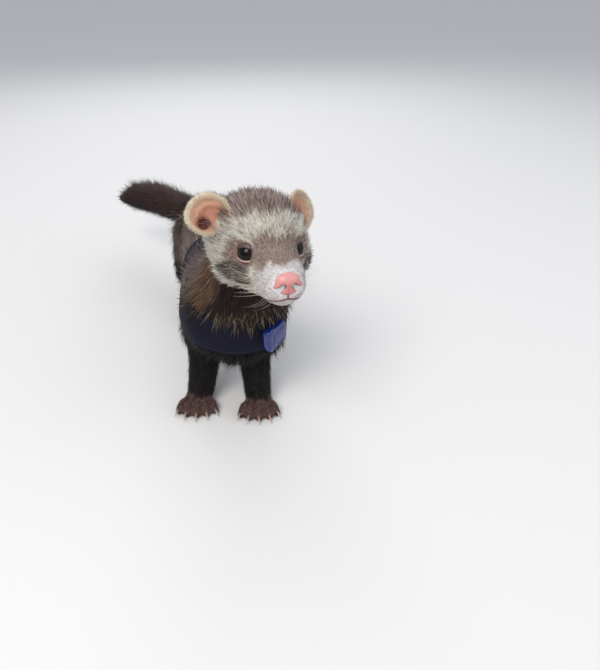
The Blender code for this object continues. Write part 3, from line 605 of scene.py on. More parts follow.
LIMBS = {"head": head_stations(), "trunk": stations(TRUNK, 60), "tail": stations(TAIL, 40)}
for side in ("left", "right"):
    LIMBS[f"foreleg_{side}"] = stations(FORELEG[side], 20)
    LIMBS[f"hindleg_{side}"] = stations(HINDLEG[side], 24)
    LIMBS[f"forepaw_{side}"] = paw_stations(FOREPAW[side], -8, 14)
    LIMBS[f"hindpaw_{side}"] = paw_stations(HINDPAW[side], -4, 40)


def lie_of(points):
    """The limb each point belongs to, its place along and turn around it, and the blended lie of its coat:
    direction, hair length and standing angle, weighted by e to the minus gap over the limb's reach."""
    weights, ways, lengths, lifts, places, turns = [], [], [], [], [], []
    for name, (middle, radius, way) in LIMBS.items():
        away = np.linalg.norm(points[:, None] - middle[None], axis=2)
        near = (away - radius).argmin(1)
        gap = np.take_along_axis(away - radius, near[:, None], 1)[:, 0]
        weights.append(np.exp(-np.clip(gap, -12, 60) / REACH_OF_A_LIMB))
        ways.append(way[near])
        place = near / (len(middle) - 1)
        (length_a, lift_a), (length_b, lift_b) = HAIR[name.split("_")[0]]
        lengths.append(length_a + (length_b - length_a) * place)
        lifts.append(lift_a + (lift_b - lift_a) * place)
        spoke = points - middle[near]
        above = unit(np.array([0, 0.02, 1.0]) - way[near] * (way[near] @ [0, 0.02, 1.0])[:, None])
        sideways = np.cross(way[near], above)
        turns.append(np.arctan2((spoke * sideways).sum(1), (spoke * above).sum(1)) / (2 * np.pi) + 0.5)
        places.append(place + 0.9 / len(middle) * np.clip((spoke * way[near]).sum(1) / 6, -1, 1))
    weights = np.stack(weights)
    weights /= weights.sum(0)
    best = weights.argmax(0)
    pick = np.arange(len(points))
    return {
        "limb": best,
        "weights": weights,
        "way": unit((weights[:, :, None] * np.stack(ways)).sum(0)),
        "length": (weights * np.stack(lengths)).sum(0),
        "lift": (weights * np.stack(lifts)).sum(0),
        "patch": np.stack([np.stack(turns)[best, pick], np.clip(np.stack(places)[best, pick], 0, 1)], -1),
    }


LIMB_NAMES = list(LIMBS)


def share_of(lie, word):
    """How much each point belongs to the limbs whose names hold a word: the sum of their weights."""
    return sum(lie["weights"][k] for k, name in enumerate(LIMB_NAMES) if word in name)


def wander(points, size, seed):
    """A smooth field between about -1 and 1: the mean of ten sine waves that run in scattered directions."""
    waves = np.random.default_rng(seed)
    direction = unit(waves.normal(size=(10, 3))) / size * waves.uniform(0.7, 1.5, (10, 1)) * 2 * np.pi
    phase = waves.uniform(0, 2 * np.pi, 10)
    return np.sin(points @ direction.T + phase).sum(1) / 3.2


def hair_of(points, lie):
    """Hair length and standing angle with what the limbs don't know: short round the eyes and mouth, longest
    on the cheeks, brow and crown, and long under the throat."""
    ahead, left, up = in_head(points).T
    on_head = share_of(lie, "head")
    face = 1.9 + 2.6 * ease(-ahead, -41, -26) + 2.4 * ease(-ahead, -26, -12)
    eye_gap = np.linalg.norm(np.stack([ahead - 27.5, np.abs(left) - 15, up], -1), axis=1)
    face = face * (0.45 + 0.55 * ease(eye_gap, 5.0, 11))
    brow = ease(-ahead, -34, -14) * ease(up, -6, 8)
    before_ear = np.exp(-(((ahead - 11) / 5.5) ** 2) - ((np.abs(left) - 20) / 6) ** 2 - ((up - 4) / 10) ** 2)
    length = lie["length"] * (1 - on_head) + (face + 3.8 * before_ear) * on_head
    lift = lie["lift"] * (1 - on_head) + (11 + 13 * brow + 16 * before_ear) * on_head
    return length, lift


def stand_height(length, lift):
    """How far a bent tuft's tip stands off the skin: half its length at the angle of each end."""
    return length * (np.sin(np.radians(lift)) + np.sin(np.radians(lift - LIE_BEND))) / 2


# %% [markdown]
# ## Room for the coat
#
# The solids reach out to the tips of the coat, so the skin moves inwards by the height that the coat
# stands. The tail's own core is already thin, and its long hair stands free of it.

# %% The skin moves in by the coat's depth
SKIN_DEPTH, TAIL_DEPTH_LESS, SOLE_HEIGHT = 0.85, 0.75, 0.25
flesh_points = points_of(skin)
lie = lie_of(flesh_points)
length, lift = hair_of(flesh_points, lie)
depth = stand_height(length, lift) * SKIN_DEPTH
depth *= 1 - TAIL_DEPTH_LESS * share_of(lie, "tail")
flesh_points = flesh_points - normals_of(skin) * depth[:, None]
flesh_points[:, 2] = np.maximum(flesh_points[:, 2], SOLE_HEIGHT)
EAR_CANAL = (6.6, 20.4, 6.2)
for s in (-1, 1):
    behind_cup = (EAR_CANAL[0] - 3, (EAR_CANAL[1] + 3) * s, EAR_CANAL[2])
    flesh_points = dented(flesh_points, behind_cup, (-0.3, -s, -0.2), 7.5, 6.0)
put_points(skin, flesh_points)
softened(skin, 2)

# %% [markdown]
# ## Markings
#
# A sable ferret has a cream brow, cheeks and muzzle, a brown mask across the eyes, a taupe crown, tan neck
# sides, nearly black legs and tail, and a flank where dark guard hairs lie over a pale undercoat. The throat
# is painted dark with the head's shadow, and the legs and the breast between them carry painted shade of the
# lower body over their own dark fur. A painted image would need a map of the whole animal. Here each marking
# is a soft region given by a formula in the head's or body's axes, and a smooth wander makes its border
# ragged. The same function colours the skin and every tuft, so the two always agree.

# %% The markings
CREAM, WHITE = srgb(244, 235, 218), srgb(236, 230, 228)
CROWN, MASK, PATCH = srgb(144, 122, 113), srgb(128, 98, 86), srgb(58, 40, 34)
TAN, THROAT_PAINTED_SHADOW, NAPE = srgb(128, 96, 70), srgb(44, 27, 22), srgb(132, 114, 102)
FLANK, BACK, BELLY = srgb(136, 119, 107), srgb(106, 87, 77), srgb(112, 92, 76)
DARK_LEG_WITH_PAINTED_SHADE, PAW, TAIL_DARK = srgb(24, 18, 18), srgb(92, 66, 60), srgb(60, 43, 38)
SKIN_SHADE = 0.75
WHISKER_ROWS, WHISKER_ROW_GAP = srgb(150, 138, 136), 2.3


def laid_over(under, over, amount):
    """One colour laid over another: under, plus the amount times the step from under to over."""
    return under + (over - under) * amount[:, None]


def bump_at(h, centre, radii):
    """E to the minus squared distance from a place of the head, in radii, alike on both sides."""
    h = np.stack([h[:, 0], np.abs(h[:, 1]), h[:, 2]], -1)
    return np.exp(-(((h - centre) / radii) ** 2).sum(1))


def head_marking(h):
    """Cream first, then the crown, mask and muzzle laid over it along soft borders."""
    ahead, side, up = h[:, 0], np.abs(h[:, 1]), h[:, 2]
    ragged = 1.0 * wander(h, 9, 5) + 0.8 * wander(h, 3.2, 6)
    colour = plain(CREAM, len(h))
    crown = ease(22.5 + ragged - ahead - 0.45 * side, -2.6, 2.6) * ease(up - 0.25 * side + ragged, 0, 6)
    colour = laid_over(colour, CROWN, crown)
    bridge = ahead + 0.42 * side + ragged
    across = ease(bridge, 29.5, 34) * ease(-bridge, -48, -44)
    across = across * ease(up + 0.1 * side, -7, -2) * ease(-side, -15, -9)
    round_eye = ease(bump_at(h, (26.0, 15.0, -1.0), (9.0, 8.5, 7.5)) + 0.05 * ragged, 0.3, 0.6)
    colour = laid_over(colour, MASK, np.maximum(across * 0.85, round_eye * 0.95))
    patch = bump_at(h, (22.5, 19.0, -10.0), (6.0, 7, 4.8)) + bump_at(h, (29.5, 14.0, -12.5), (7, 8, 5))
    colour = laid_over(colour, PATCH, ease(patch + 0.09 * ragged, 0.25, 0.7) * 0.92)
    muzzle = ease(ahead + 0.42 * side - 0.25 * up + 0.6 * ragged, 44.8, 48.0)
    muzzle = np.maximum(muzzle, ease(ahead + 0.3 * ragged, 34, 38) * ease(-up, 4, 8))
    colour = laid_over(colour, WHITE, muzzle)
    rows = ease(np.cos(2 * np.pi * (up + 0.3 * ahead) / WHISKER_ROW_GAP), 0.35, 0.9)
    rows = rows * ease(side, 7, 10) * ease(ahead, 34, 38)
    return laid_over(colour, WHISKER_ROWS, 0.5 * rows * ease(-up, 3.5, 5.5) * ease(up, -15.5, -13))


def marking(points, normals, lie):
    """The coat's colour anywhere on the animal, with painted shade on the throat, breast and legs."""
    h = in_head(points)
    legs, paws = share_of(lie, "leg"), share_of(lie, "paw")
    ragged = 0.12 * wander(points, 16, 8)
    colour = laid_over(plain(FLANK, len(points)), BACK, ease(normals[:, 2] + ragged, 0.2, 0.95))
    colour = laid_over(colour, BELLY, ease(-normals[:, 2] + ragged, 0.3, 0.9))
    neck = ease(-points[:, 1] + 0.5 * (points[:, 2] - 70), -22, 6)
    behind = ease(normals[:, 2] + 0.8 * normals[:, 1], 0.1, 0.8)
    neck_colour = laid_over(plain(TAN, len(points)), NAPE, behind)
    # The front and underside of the neck are painted dark: painted shadow of the head on the throat.
    front = -normals[:, 1] - 0.35 * np.abs(normals[:, 0]) - 0.6 * normals[:, 2] + ragged
    neck_colour = laid_over(neck_colour, THROAT_PAINTED_SHADOW, ease(front, 0.05, 0.5))
    colour = laid_over(colour, neck_colour, neck)
    # Near black on legs and breast, more so low down: dark leg fur, and painted shade there and on the
    # breast.
    breast = ease(-points[:, 1] - 0.15 * points[:, 2], -38, -16) * ease(-points[:, 2], -88, -72)
    low = ease(-points[:, 2] + 22 * ragged, -68, -40)
    colour = laid_over(colour, DARK_LEG_WITH_PAINTED_SHADE, np.clip(1.25 * legs * low + breast + ragged, 0, 1))
    colour = laid_over(colour, PAW, ease(paws + legs, 0.4, 0.9) * ease(-points[:, 2] + 12 * ragged, -13, -7))
    colour = laid_over(colour, TAIL_DARK, ease(share_of(lie, "tail") + ragged, 0.3, 0.95))
    jaw = (h[:, 0] + 8) * 0.85 + h[:, 2] * 0.53 + 3 * wander(points, 12, 9)
    on_head = ease(jaw, -7, 2) * ease(h[:, 2] + 0.25 * h[:, 0], -30, -22)
    return laid_over(colour, head_marking(h), np.clip(on_head, 0, 1))


skin_points = points_of(skin)
skin_lie = lie_of(skin_points)
store_colour(skin, marking(skin_points, normals_of(skin), skin_lie) * SKIN_SHADE)

# %% [markdown]
# ## Tufts
#
# Hair can be made as curves, but few programs outside Blender read them. A tuft here is solid: a thin
# three-sided lock of ten triangles, with a ring at the skin, a ring half way, and a point. It leaves the
# skin at its standing angle and bends over to lie along the body. Tens of thousands are computed in one
# array, each with its own length, turn and shade.


# %% Scattering and growing tufts
def scattered(points, normals, triangles, density):
    """Roots spread over a mesh. The triangles' areas times the density add up to a running total, and even
    steps along that total, each a little off, name the triangle that gets a root."""
    corners = points[triangles]
    area = np.linalg.norm(np.cross(corners[:, 1] - corners[:, 0], corners[:, 2] - corners[:, 0]), axis=1) / 2
    total = np.cumsum(area * density[triangles].mean(1))
    count = int(total[-1])
    face = np.searchsorted(total, (np.arange(count) + rng.random(count)) / count * total[-1])
    face = np.clip(face, 0, len(triangles) - 1)
    a, b = np.sqrt(rng.random(count))[:, None], rng.random(count)[:, None]
    share = np.stack([1 - a, a * (1 - b), a * b], 1)
    chosen = triangles[face]
    return (points[chosen] * share).sum(1), unit((normals[chosen] * share).sum(1))


FLOOR_GAP = 0.15


def grown(name, root, normal, way, length, width, lift, root_colour, tip_colour, patch, bend=LIE_BEND):
    """Tufts as one closed mesh. The middle line starts along the lie turned up by lift, ends turned down by
    bend, and the three corners of each ring are left, right and top of it."""
    count = len(root)
    along_skin = unit(way - normal * (way * normal).sum(1)[:, None])
    side = np.cross(normal, along_skin)
    start, end = np.radians(lift)[:, None], np.radians(lift - bend)[:, None]
    first = along_skin * np.cos(start) + normal * np.sin(start)
    last = along_skin * np.cos(end) + normal * np.sin(end)
    length, width = length[:, None], width[:, None]
    rings = []
    for t, share in ((0.0, 0.8), (0.45, 1.0)):
        middle = root - normal * 0.35 * (1 - t) + length * (first * (t - t * t / 2) + last * t * t / 2)
        over = np.cross(first, side) * -1
        half = side * width / 2 * share
        rings += [middle - half, middle + half, middle + over * width * 0.35 * share]
    tip = root + length * (first + last) / 2
    points = np.stack([*rings, tip], 1).reshape(-1, 3)
    points[:, 2] = np.maximum(points[:, 2], FLOOR_GAP)
    base = (np.arange(count) * 7)[:, None, None]
    quads = (base + np.array([[0, 1, 4, 3], [1, 2, 5, 4], [2, 0, 3, 5]])).reshape(-1, 4)
    fans = (base + np.array([[0, 2, 1], [3, 4, 6], [4, 5, 6], [5, 3, 6]])).reshape(-1, 3)
    obj = mesh_object(name, points, quads, fans)
    # The root colours that callers give are darkened as painted shade; the middle ring blends them into the
    # tip.
    middle_colour = root_colour * 0.35 + tip_colour * 0.65
    at_root, at_middle = (np.repeat(colour[:, None], 3, 1) for colour in (root_colour, middle_colour))
    store_colour(obj, np.concatenate([at_root, at_middle, tip_colour[:, None]], 1).reshape(-1, 3))
    unwrapped(obj, patch, 7)
    return obj


PATCH_SIZE = 0.003


def unwrapped(obj, patch, corners):
    """A small patch for each tuft on the map of its limb: around it and along it, each from 0 to 1."""
    inside = np.array([[0, 0], [1, 0], [0.5, 0.3], [0.1, 0.5], [0.9, 0.5], [0.5, 0.7], [0.5, 1.0]])[:corners]
    spots = patch[:, None] * (1 - PATCH_SIZE) + inside[None] * PATCH_SIZE
    layer = obj.data.uv_layers.new(name="OFBake")
    corner = np.empty(len(obj.data.loops), np.int32)
    obj.data.loops.foreach_get("vertex_index", corner)
    layer.data.foreach_set("uv", spots.reshape(-1, 2)[corner].astype(np.float32).ravel())


# %% [markdown]
# ## Where the coat is parted
#
# Nothing grows inside the lids, under the nose leather, in the ears or under the harness. Roots that fall
# there are dropped before they grow, which costs less than trimming the tufts afterwards and leaves no cut
# ends.

# %% Bare places
BREAST_BAND = ((9, 30, 69), (0, -0.2, 0.98), 23.0)
GIRTH = ((9, 62, 66), (0, 0.99, -0.12), 20.0)


def across_band(points, band):
    """How far points lie from the middle plane of a band, as a share of its half-width."""
    centre, normal, width = band
    return (points - np.array(centre, float)) @ unit(np.array(normal, float)) / (width / 2)


def under_harness(points, margin):
    """True under the girth or the breast band, within a margin of each band's half-width."""
    girth = np.abs(across_band(points, GIRTH)) < margin
    breast = (np.abs(across_band(points, BREAST_BAND)) < margin) & (points[:, 1] < GIRTH[0][1])
    return girth | breast


def bare(points):
    """True where no tuft may stand."""
    h = in_head(points)
    h[:, 1] = np.abs(h[:, 1])
    axis = unit(np.array(EYE_AXIS))
    high = unit(np.array([0, 0, 1.0]) - axis * axis[2])
    wide = np.cross(high, axis)
    from_eye = h - EYE_CENTRE
    in_lids = ((from_eye @ wide) / 5.9) ** 2 + ((from_eye @ high) / 5.0) ** 2 < 1
    in_lids &= from_eye @ axis > 0
    on_nose = (((h - (47.6, 0, -8.4)) / (5.8, 6.8, 6.4)) ** 2).sum(1) < 1
    in_ear = (((h - (4.5, 23.5, 7.5)) / (5.0, 6.5, 6.5)) ** 2).sum(1) < 1
    return in_lids | on_nose | in_ear | under_harness(points, 0.8) | (points[:, 2] < 0.8)


# %% [markdown]
# ## The coat, piece by piece
#
# A ferret's coat has two layers: a dense pale undercoat, and longer and darker guard hairs over it. The
# roots are spread once over the whole skin, closest on the face and the paws, where the hair is finest.
# About a quarter of the longer tufts are made guard hairs, which are longer, thinner and a little steeper.
# The tufts are then shared out by the limb they grow on, so that no piece becomes too large.

# %% The coat
TUFT_WIDTH, TUFTS_MM2 = 0.75, 1.45
skin_normals, skin_triangles = normals_of(skin), triangles_of(skin)
finer_face = 1 + 0.5 * ease(in_head(skin_points)[:, 0], 20, 40)
density = TUFTS_MM2 + 3.0 * share_of(skin_lie, "head") * finer_face + 1.2 * share_of(skin_lie, "paw")
density *= 1 - share_of(skin_lie, "tail") * ease(skin_points[:, 1], 170, 180)
roots, root_normals = scattered(skin_points, skin_normals, skin_triangles, density)
kept = ~bare(roots)
roots, root_normals = roots[kept], root_normals[kept]
lie = lie_of(roots)
length, lift = hair_of(roots, lie)
print("tufts:", len(roots))


def turned_lie(way, normal, points, seed):
    """The lie swung left and right by a smooth wander, so that neighbouring tufts gather into locks."""
    side = np.cross(normal, way)
    swing = 0.20 * wander(points, 7, seed) + 0.14 * wander(points, 2.6, seed + 1)
    return way + side * (swing + rng.normal(0, 0.08, len(points)))[:, None]


def coat_shades(points, normals, lie):
    """Root and tip colours: the marking with painted shade at the roots, in the depth of the coat, and tips
    of mixed dark guard hairs, pale undercoat and a few silver ones."""
    base = marking(points, normals, lie)
    shade = np.exp(rng.normal(0, 0.17, len(points)))[:, None] * (1 + 0.16 * wander(points, 3.5, 31))[:, None]
    chance = rng.random(len(points))
    light = base.mean(1)
    brown = (light > 0.035) & (light < 0.4)
    silver = brown & (chance < 0.05 + 0.17 * share_of(lie, "head"))
    dark = (light > 0.035) & (chance > 0.76)
    tip = base * shade * 1.15
    tip[silver] = tip[silver] * 0.4 + srgb(226, 216, 208) * 0.6
    tip[dark] *= 0.55
    # Painted shade: the roots are darkened as the depth of the coat would be.
    depth = base * shade * np.array([0.50, 0.45, 0.41])
    return depth, np.clip(tip, 0, 0.92)


PIECES = {}
limb_name = np.array(LIMB_NAMES)[lie["limb"]]
on_trunk = limb_name == "trunk"
for name in LIMB_NAMES:
    if name not in ("trunk", "tail", "head"):
        PIECES[f"coat_{name}"] = limb_name == name
h_roots = in_head(roots)
PIECES["coat_face"] = (limb_name == "head") & (h_roots[:, 0] > 26)
PIECES["coat_brow"] = (limb_name == "head") & (h_roots[:, 0] <= 26) & (h_roots[:, 2] > -2)
PIECES["coat_cheeks"] = (limb_name == "head") & (h_roots[:, 0] <= 26) & (h_roots[:, 2] <= -2)
PIECES["coat_neck"] = on_trunk & (roots[:, 1] < 20)
PIECES["coat_chest"] = on_trunk & (roots[:, 1] >= 20) & (roots[:, 1] < 72)
PIECES["coat_belly"] = on_trunk & (roots[:, 1] >= 72) & (roots[:, 1] < 122)
PIECES["coat_hips"] = (on_trunk & (roots[:, 1] >= 122)) | (limb_name == "tail")

GUARD_SHARE, GUARD_LENGTH, GUARD_WIDTH, GUARD_LIFT = 0.24, 1.35, 0.55, 7.0
guard = (rng.random(len(roots)) < GUARD_SHARE) & (length > 3.0)
root_in_painted_shade, tip_shade = coat_shades(roots, root_normals, lie)
way = turned_lie(lie["way"], root_normals, roots, 21)
length = length * rng.uniform(0.7, 1.15, len(roots)) * np.where(guard, GUARD_LENGTH, 1.0)
width = TUFT_WIDTH * np.clip(0.30 + length / 15, 0.36, 1.0) * rng.uniform(0.7, 1.2, len(roots))
width *= np.where(guard, GUARD_WIDTH, 1.0)
lift = lift + rng.normal(0, 3.5, len(roots)) + GUARD_LIFT * guard
coat = []
for name, mine in PIECES.items():
    columns = (roots, root_normals, way, length, width, lift, root_in_painted_shade, tip_shade, lie["patch"])
    coat.append(grown(name, *(column[mine] for column in columns)))
    print(name, int(mine.sum()), "tufts")

# %% [markdown]
# ## The puffed tail
#
# A frightened or excited ferret fluffs its tail into a bottle brush. Its hairs are long, stand well out and
# bend towards the tip, and they are darkest below and at the end. They grow from places along the tail's
# middle line, each with its own turn about it, because the thin core has too little skin to root so many
# evenly.

# %% The tail's brush
TAIL_TUFTS = 18500
places = 0.08 + 0.92 * rng.random(TAIL_TUFTS)
tail_rows = along(TAIL, places)
tail_line = along(TAIL, np.linspace(0, 1, 201))[:, :3]
tail_ways = unit(np.gradient(tail_line, axis=0))
tail_way = tail_ways[np.round(places * 200).astype(int)]
across = unit(np.cross(tail_way, [0, 0, 1.0]))
above = np.cross(across, tail_way)
turn = rng.uniform(0, 2 * np.pi, TAIL_TUFTS)
tail_normal = across * np.cos(turn)[:, None] + above * np.sin(turn)[:, None]
core = tail_rows[:, 3] * (0.80 - 0.25 * places)
tail_root = tail_rows[:, :3] + tail_normal * core[:, None]
bristle = rng.random(TAIL_TUFTS) < 0.3
tail_length = (8.5 + 4.5 * ease(places, 0.0, 0.35)) * (1 + 0.16 * np.sin(turn))
tail_length = tail_length * rng.uniform(0.65, 1.05, TAIL_TUFTS)
tail_length = np.where(bristle, 1.38, 1.0) * tail_length * (1 - 0.12 * ease(places, 0.8, 1.0))
tail_lift = 54 - 42 * ease(places, 0.62, 1.0) + rng.normal(0, 8, TAIL_TUFTS)
tail_black = srgb(24, 17, 17)
tail_base = laid_over(plain(TAIL_DARK, TAIL_TUFTS), tail_black, ease(-np.sin(turn) + 1.2 * places, 0.2, 1.3))
tail_shade = np.exp(rng.normal(0, 0.3, TAIL_TUFTS))[:, None]
# The roots at 0.6 of the colour are painted shade in the depth of the brush.
coat.append(grown(
    "coat_tail", tail_root, tail_normal, turned_lie(tail_way, tail_normal, tail_root, 41), tail_length,
    np.where(bristle, 0.42, 0.62) * rng.uniform(0.7, 1.2, TAIL_TUFTS), tail_lift,
    tail_base * tail_shade * 0.6, tail_base * tail_shade * 1.2,
    np.stack([turn / (2 * np.pi), np.clip(places, 0, 1)], -1), bend=26.0,
))

# %% [markdown]
# ## Eyes
#
# A ferret's eye is a dark, wet bead. A disc in the socket would look right from the front only, so the ball
# is a whole fine sphere that keeps its highlight from every side. The lids are a rolled rim around an
# almond opening, with a tear corner on the side of the nose.

# %% Eyes and lids
EYE_RINGS, EYE_SIDES = 36, 48
SIDE = {1: "left", -1: "right"}


def mirrored(vector, side):
    """A left side's vector, turned over for the right side."""
    return np.array([vector[0], vector[1] * side, vector[2]], float)


def eye_frame(side):
    """Middle, outward axis, forward and upward directions of an eye, in the head's axes."""
    axis = unit(mirrored(EYE_AXIS, side))
    up = unit(np.array([0, 0, 1.0]) - axis * axis[2])
    return mirrored(EYE_CENTRE, side), axis, np.cross(up, axis) * side, up


def eyeball(side):
    """A sphere with its pole on the eye's axis, so that the rings of iris and pupil follow its latitude."""
    centre, axis, forward, up = eye_frame(side)
    down = np.linspace(0.02, np.pi - 0.02, EYE_RINGS)[:, None, None]
    around = np.linspace(0, 2 * np.pi, EYE_SIDES, endpoint=False)[None, :, None]
    grid = np.cos(down) * axis + np.sin(down) * (np.cos(around) * forward + np.sin(around) * up)
    bulge = 1 + 0.035 * np.exp(-((down / 0.5) ** 2))
    points, quads, fans = capped(from_head(centre + EYE_RADIUS * bulge * grid))
    obj = mesh_object(f"eye_ball_{SIDE[side]}", points, quads, fans)
    away = np.concatenate([np.repeat(down[:, 0, 0], EYE_SIDES), [0, np.pi]])
    iris = ease(away, 0.42, 0.5) * (1 - ease(away, 0.8, 0.92))
    store_colour(obj, laid_over(plain(srgb(5, 5, 8), len(away)), srgb(26, 17, 15), iris))
    return obj


def lids(side, turns=72):
    """The rim round the opening. Its section rises off the ball, rolls over and sinks into the coat."""
    centre, axis, forward, up = eye_frame(side)
    turn = np.linspace(0, 2 * np.pi, turns, endpoint=False)[:, None]
    c, s = np.cos(turn), np.sin(turn)
    inner = np.maximum(c, 0) ** 5
    wide = EYE_OPENING[0] * c * 0.97 + 1.6 * inner
    high = EYE_OPENING[1] * s * (1 - 0.12 * c) - 1.1 * inner
    section = np.array([
        (-0.2, -0.5), (-0.05, 0.0), (0.08, 0.2), (0.26, 0.32), (0.48, 0.33), (0.75, 0.22),
        (1.1, 0.0), (1.6, -0.5), (2.2, -1.5), (1.8, -2.6), (0.8, -2.4), (0.0, -1.4),
    ])
    out, rise = section[:, 0][None], section[:, 1][None]
    reach = np.hypot(wide, high)
    cap = np.sqrt(np.maximum(EYE_RADIUS**2 - np.minimum(reach, 0.97 * EYE_RADIUS) ** 2, 0)) + 0.12
    outward = unit(np.concatenate([wide / EYE_OPENING[0] ** 2, high / EYE_OPENING[1] ** 2], 1))
    upper = 1 + 0.25 * np.maximum(s, 0)
    w = wide + outward[:, :1] * out * upper
    v = high + outward[:, 1:] * out * upper
    grid = centre + w[..., None] * forward + v[..., None] * up + (cap + rise * upper)[..., None] * axis
    sides = len(section)
    rim_points = from_head(grid.reshape(-1, 3))
    obj = mesh_object(f"lids_{SIDE[side]}", rim_points, ring_faces(turns, sides, True))
    step = np.tile(np.arange(sides), turns)
    below = np.repeat(ease(-s[:, 0], -0.3, 0.6), sides)
    rim = laid_over(plain(srgb(74, 54, 50), turns * sides), srgb(176, 150, 138), below)
    colour = laid_over(rim, srgb(16, 10, 10), 1 - ease(step.astype(float), 1.4, 2.6))
    # Where the rim sinks into the coat it is painted darker than the mask: painted shade under the hair.
    store_colour(obj, laid_over(colour, MASK * 0.45, ease(step.astype(float), 4.2, 6.2)))
    return obj


def facing_out(obj):
    """The object with its faces turned outwards, by the sign of the volume that its triangles enclose."""
    corners = points_of(obj)[triangles_of(obj)]
    if (corners[:, 0] * np.cross(corners[:, 1], corners[:, 2])).sum() < 0:
        obj.data.flip_normals()
    return obj


eyes = [facing_out(eyeball(side)) for side in (1, -1)]
rims = [facing_out(lids(side)) for side in (1, -1)]

# %% [markdown]
# ## Nose and mouth
#
# The nose leather is bare, moist and pink. It is a few fused ellipsoids, pressed in along two comma-shaped
# nostrils and the groove between them. Its mesh is finer than the skin's, as its forms are less than a
# millimetre wide.

# %% The nose leather
NOSE_VOXEL = 0.3

nose = mesh_object("nose_leather", *joined(
    head_ball((47.2, 0, -7.2), (5.0, 6.6, 5.0), 24, 32),
    head_ball((47.8, 4.2, -9.6), (4.0, 3.2, 3.4), 24, 32),
    head_ball((47.8, -4.2, -9.6), (4.0, 3.2, 3.4), 24, 32),
    head_ball((47.9, 0, -10.6), (3.6, 5.9, 3.5), 24, 32),
))
modified(nose, "REMESH", mode="VOXEL", voxel_size=NOSE_VOXEL * MM)
softened(nose, 14)
nose_points = points_of(nose)
# Painted shade: the nostrils are coloured near black, and the groove a little darker, as shade inside them.
nose_painted_shade = np.zeros(len(nose_points))
for s in (-1, 1):
    comma = np.array([
        (51.9, 3.0 * s, -9.0), (51.6, 3.9 * s, -9.7), (50.8, 5.0 * s, -10.3), (49.8, 6.2 * s, -10.2),
    ])
    comma = along([(*p, 0) for p in comma], np.linspace(0, 1, 24))[:, :3]
    inward = head_way((-1, -0.25 * s, 0.1))
    nose_points, share = pressed(nose_points, from_head(comma[:13]), 2.6, 1.45, inward)
    nose_painted_shade = np.maximum(nose_painted_shade, share)
    nose_points, share = pressed(nose_points, from_head(comma[13:]), 1.0, 0.75, inward)
    nose_painted_shade = np.maximum(nose_painted_shade, share * 0.75)
groove = from_head(np.array([(52.2 - 0.012 * k * k, 0, -7.6 - 0.42 * k) for k in range(16)]))
nose_points, share = pressed(nose_points, groove, 0.65, 0.5, head_way((-1, 0, 0)))
nose_painted_shade = np.maximum(nose_painted_shade, share * 0.3)
put_points(nose, nose_points)
# The top of the nose leather is painted lighter: a painted highlight where the light falls on it.
nose_top_painted_highlight = ease(in_head(nose_points)[:, 2], -9, -4)
nose_pink = laid_over(plain(srgb(198, 126, 122), len(nose_points)), srgb(214, 150, 146), nose_top_painted_highlight)
store_colour(nose, laid_over(nose_pink, srgb(34, 8, 8), ease(nose_painted_shade, 0.22, 0.6)))

# %% [markdown]
# ## The lips
#
# The closed mouth is a thin dark line that rises at its corners. It could be painted on the skin, but a
# real lip catches light. So rays cast from inside the head find the skin at the height of the mouth, and a
# thin cord is laid through those places. A second, short cord runs up to the nose.

# %% The lips
flesh_tree = BVHTree.FromObject(skin, bpy.context.evaluated_depsgraph_get())


def skin_at(start, way):
    """Where a line from inside the head leaves the skin, in the animal's millimetres."""
    hit = flesh_tree.ray_cast(Vector(placed(start)), Vector(way))[0]
    return np.array(hit) / MM - SHIFT


def cord(path, radii, sides=8):
    """A round profile carried along a path: the ring at each place is square to the path's tangent."""
    tangent = unit(np.gradient(path, axis=0))
    across = unit(np.cross(tangent, [0.13, 0.21, 0.97]))
    over = np.cross(tangent, across)
    angle = np.linspace(0, 2 * np.pi, sides, endpoint=False)[None, :, None]
    radii = np.asarray(radii, float)[:, None, None]
    return capped(path[:, None] + radii * (across[:, None] * np.cos(angle) + over[:, None] * np.sin(angle)))


lean = np.radians(np.linspace(-72, 72, 37))
corner_rise = 1.3 * np.clip(np.degrees(np.abs(lean)) - 55, 0, 23) / 23
level = -15.6 - 2.6 * np.sin(np.minimum(np.abs(lean) * 1.5, np.pi / 2)) + corner_rise
mouth = np.array([
    skin_at(from_head((31, 0, up)), head_way((math.cos(turn), math.sin(turn), 0)))
    for turn, up in zip(lean, level)
])
philtrum = np.array([
    skin_at(from_head((40, 0, up)), head_way((1, 0, 0.0))) for up in np.linspace(-13.2, -15.7, 8)
])
lips = facing_out(mesh_object("lips", *joined(
    cord(mouth, 0.55 * np.sin(np.pi * (np.arange(37) + 2) / 40) ** 0.6),
    cord(philtrum, np.full(8, 0.4)),
)))
store_colour(lips, plain(srgb(116, 70, 66), len(lips.data.vertices)))

# %% [markdown]
# ## Ears
#
# Each ear is a rounded cup with a thick edge, tucked against the head at its inner side. A thickened sheet
# would have the same edge all round. So one grid runs from the middle of the hollow out over the rolled rim
# and back behind, and a fold and a pocket lie inside; the pocket is painted dark red, the canal's own skin
# with painted shade of the hollow. Short velvet is scattered over both sides.

# %% The ears
EAR = {
    1: ((1.4, 24.2, 8.6), (0.66, 0.66, 0.36)),
    -1: ((2.4, 25.6, 10.4), (0.72, 0.54, 0.35)),
}
EAR_RADIUS, EAR_DEPTH, EAR_THICKNESS = 10.9, 5.2, 1.5


def ear_reach(turn):
    """The rim's distance from the middle: a little higher than wide, and drawn in at the foot."""
    drawn_in = 0.24 * ease(-np.sin(turn), 0.1, 1.0)
    return EAR_RADIUS * (1 + 0.05 * np.sin(turn) + 0.03 * np.cos(2 * turn) - drawn_in)


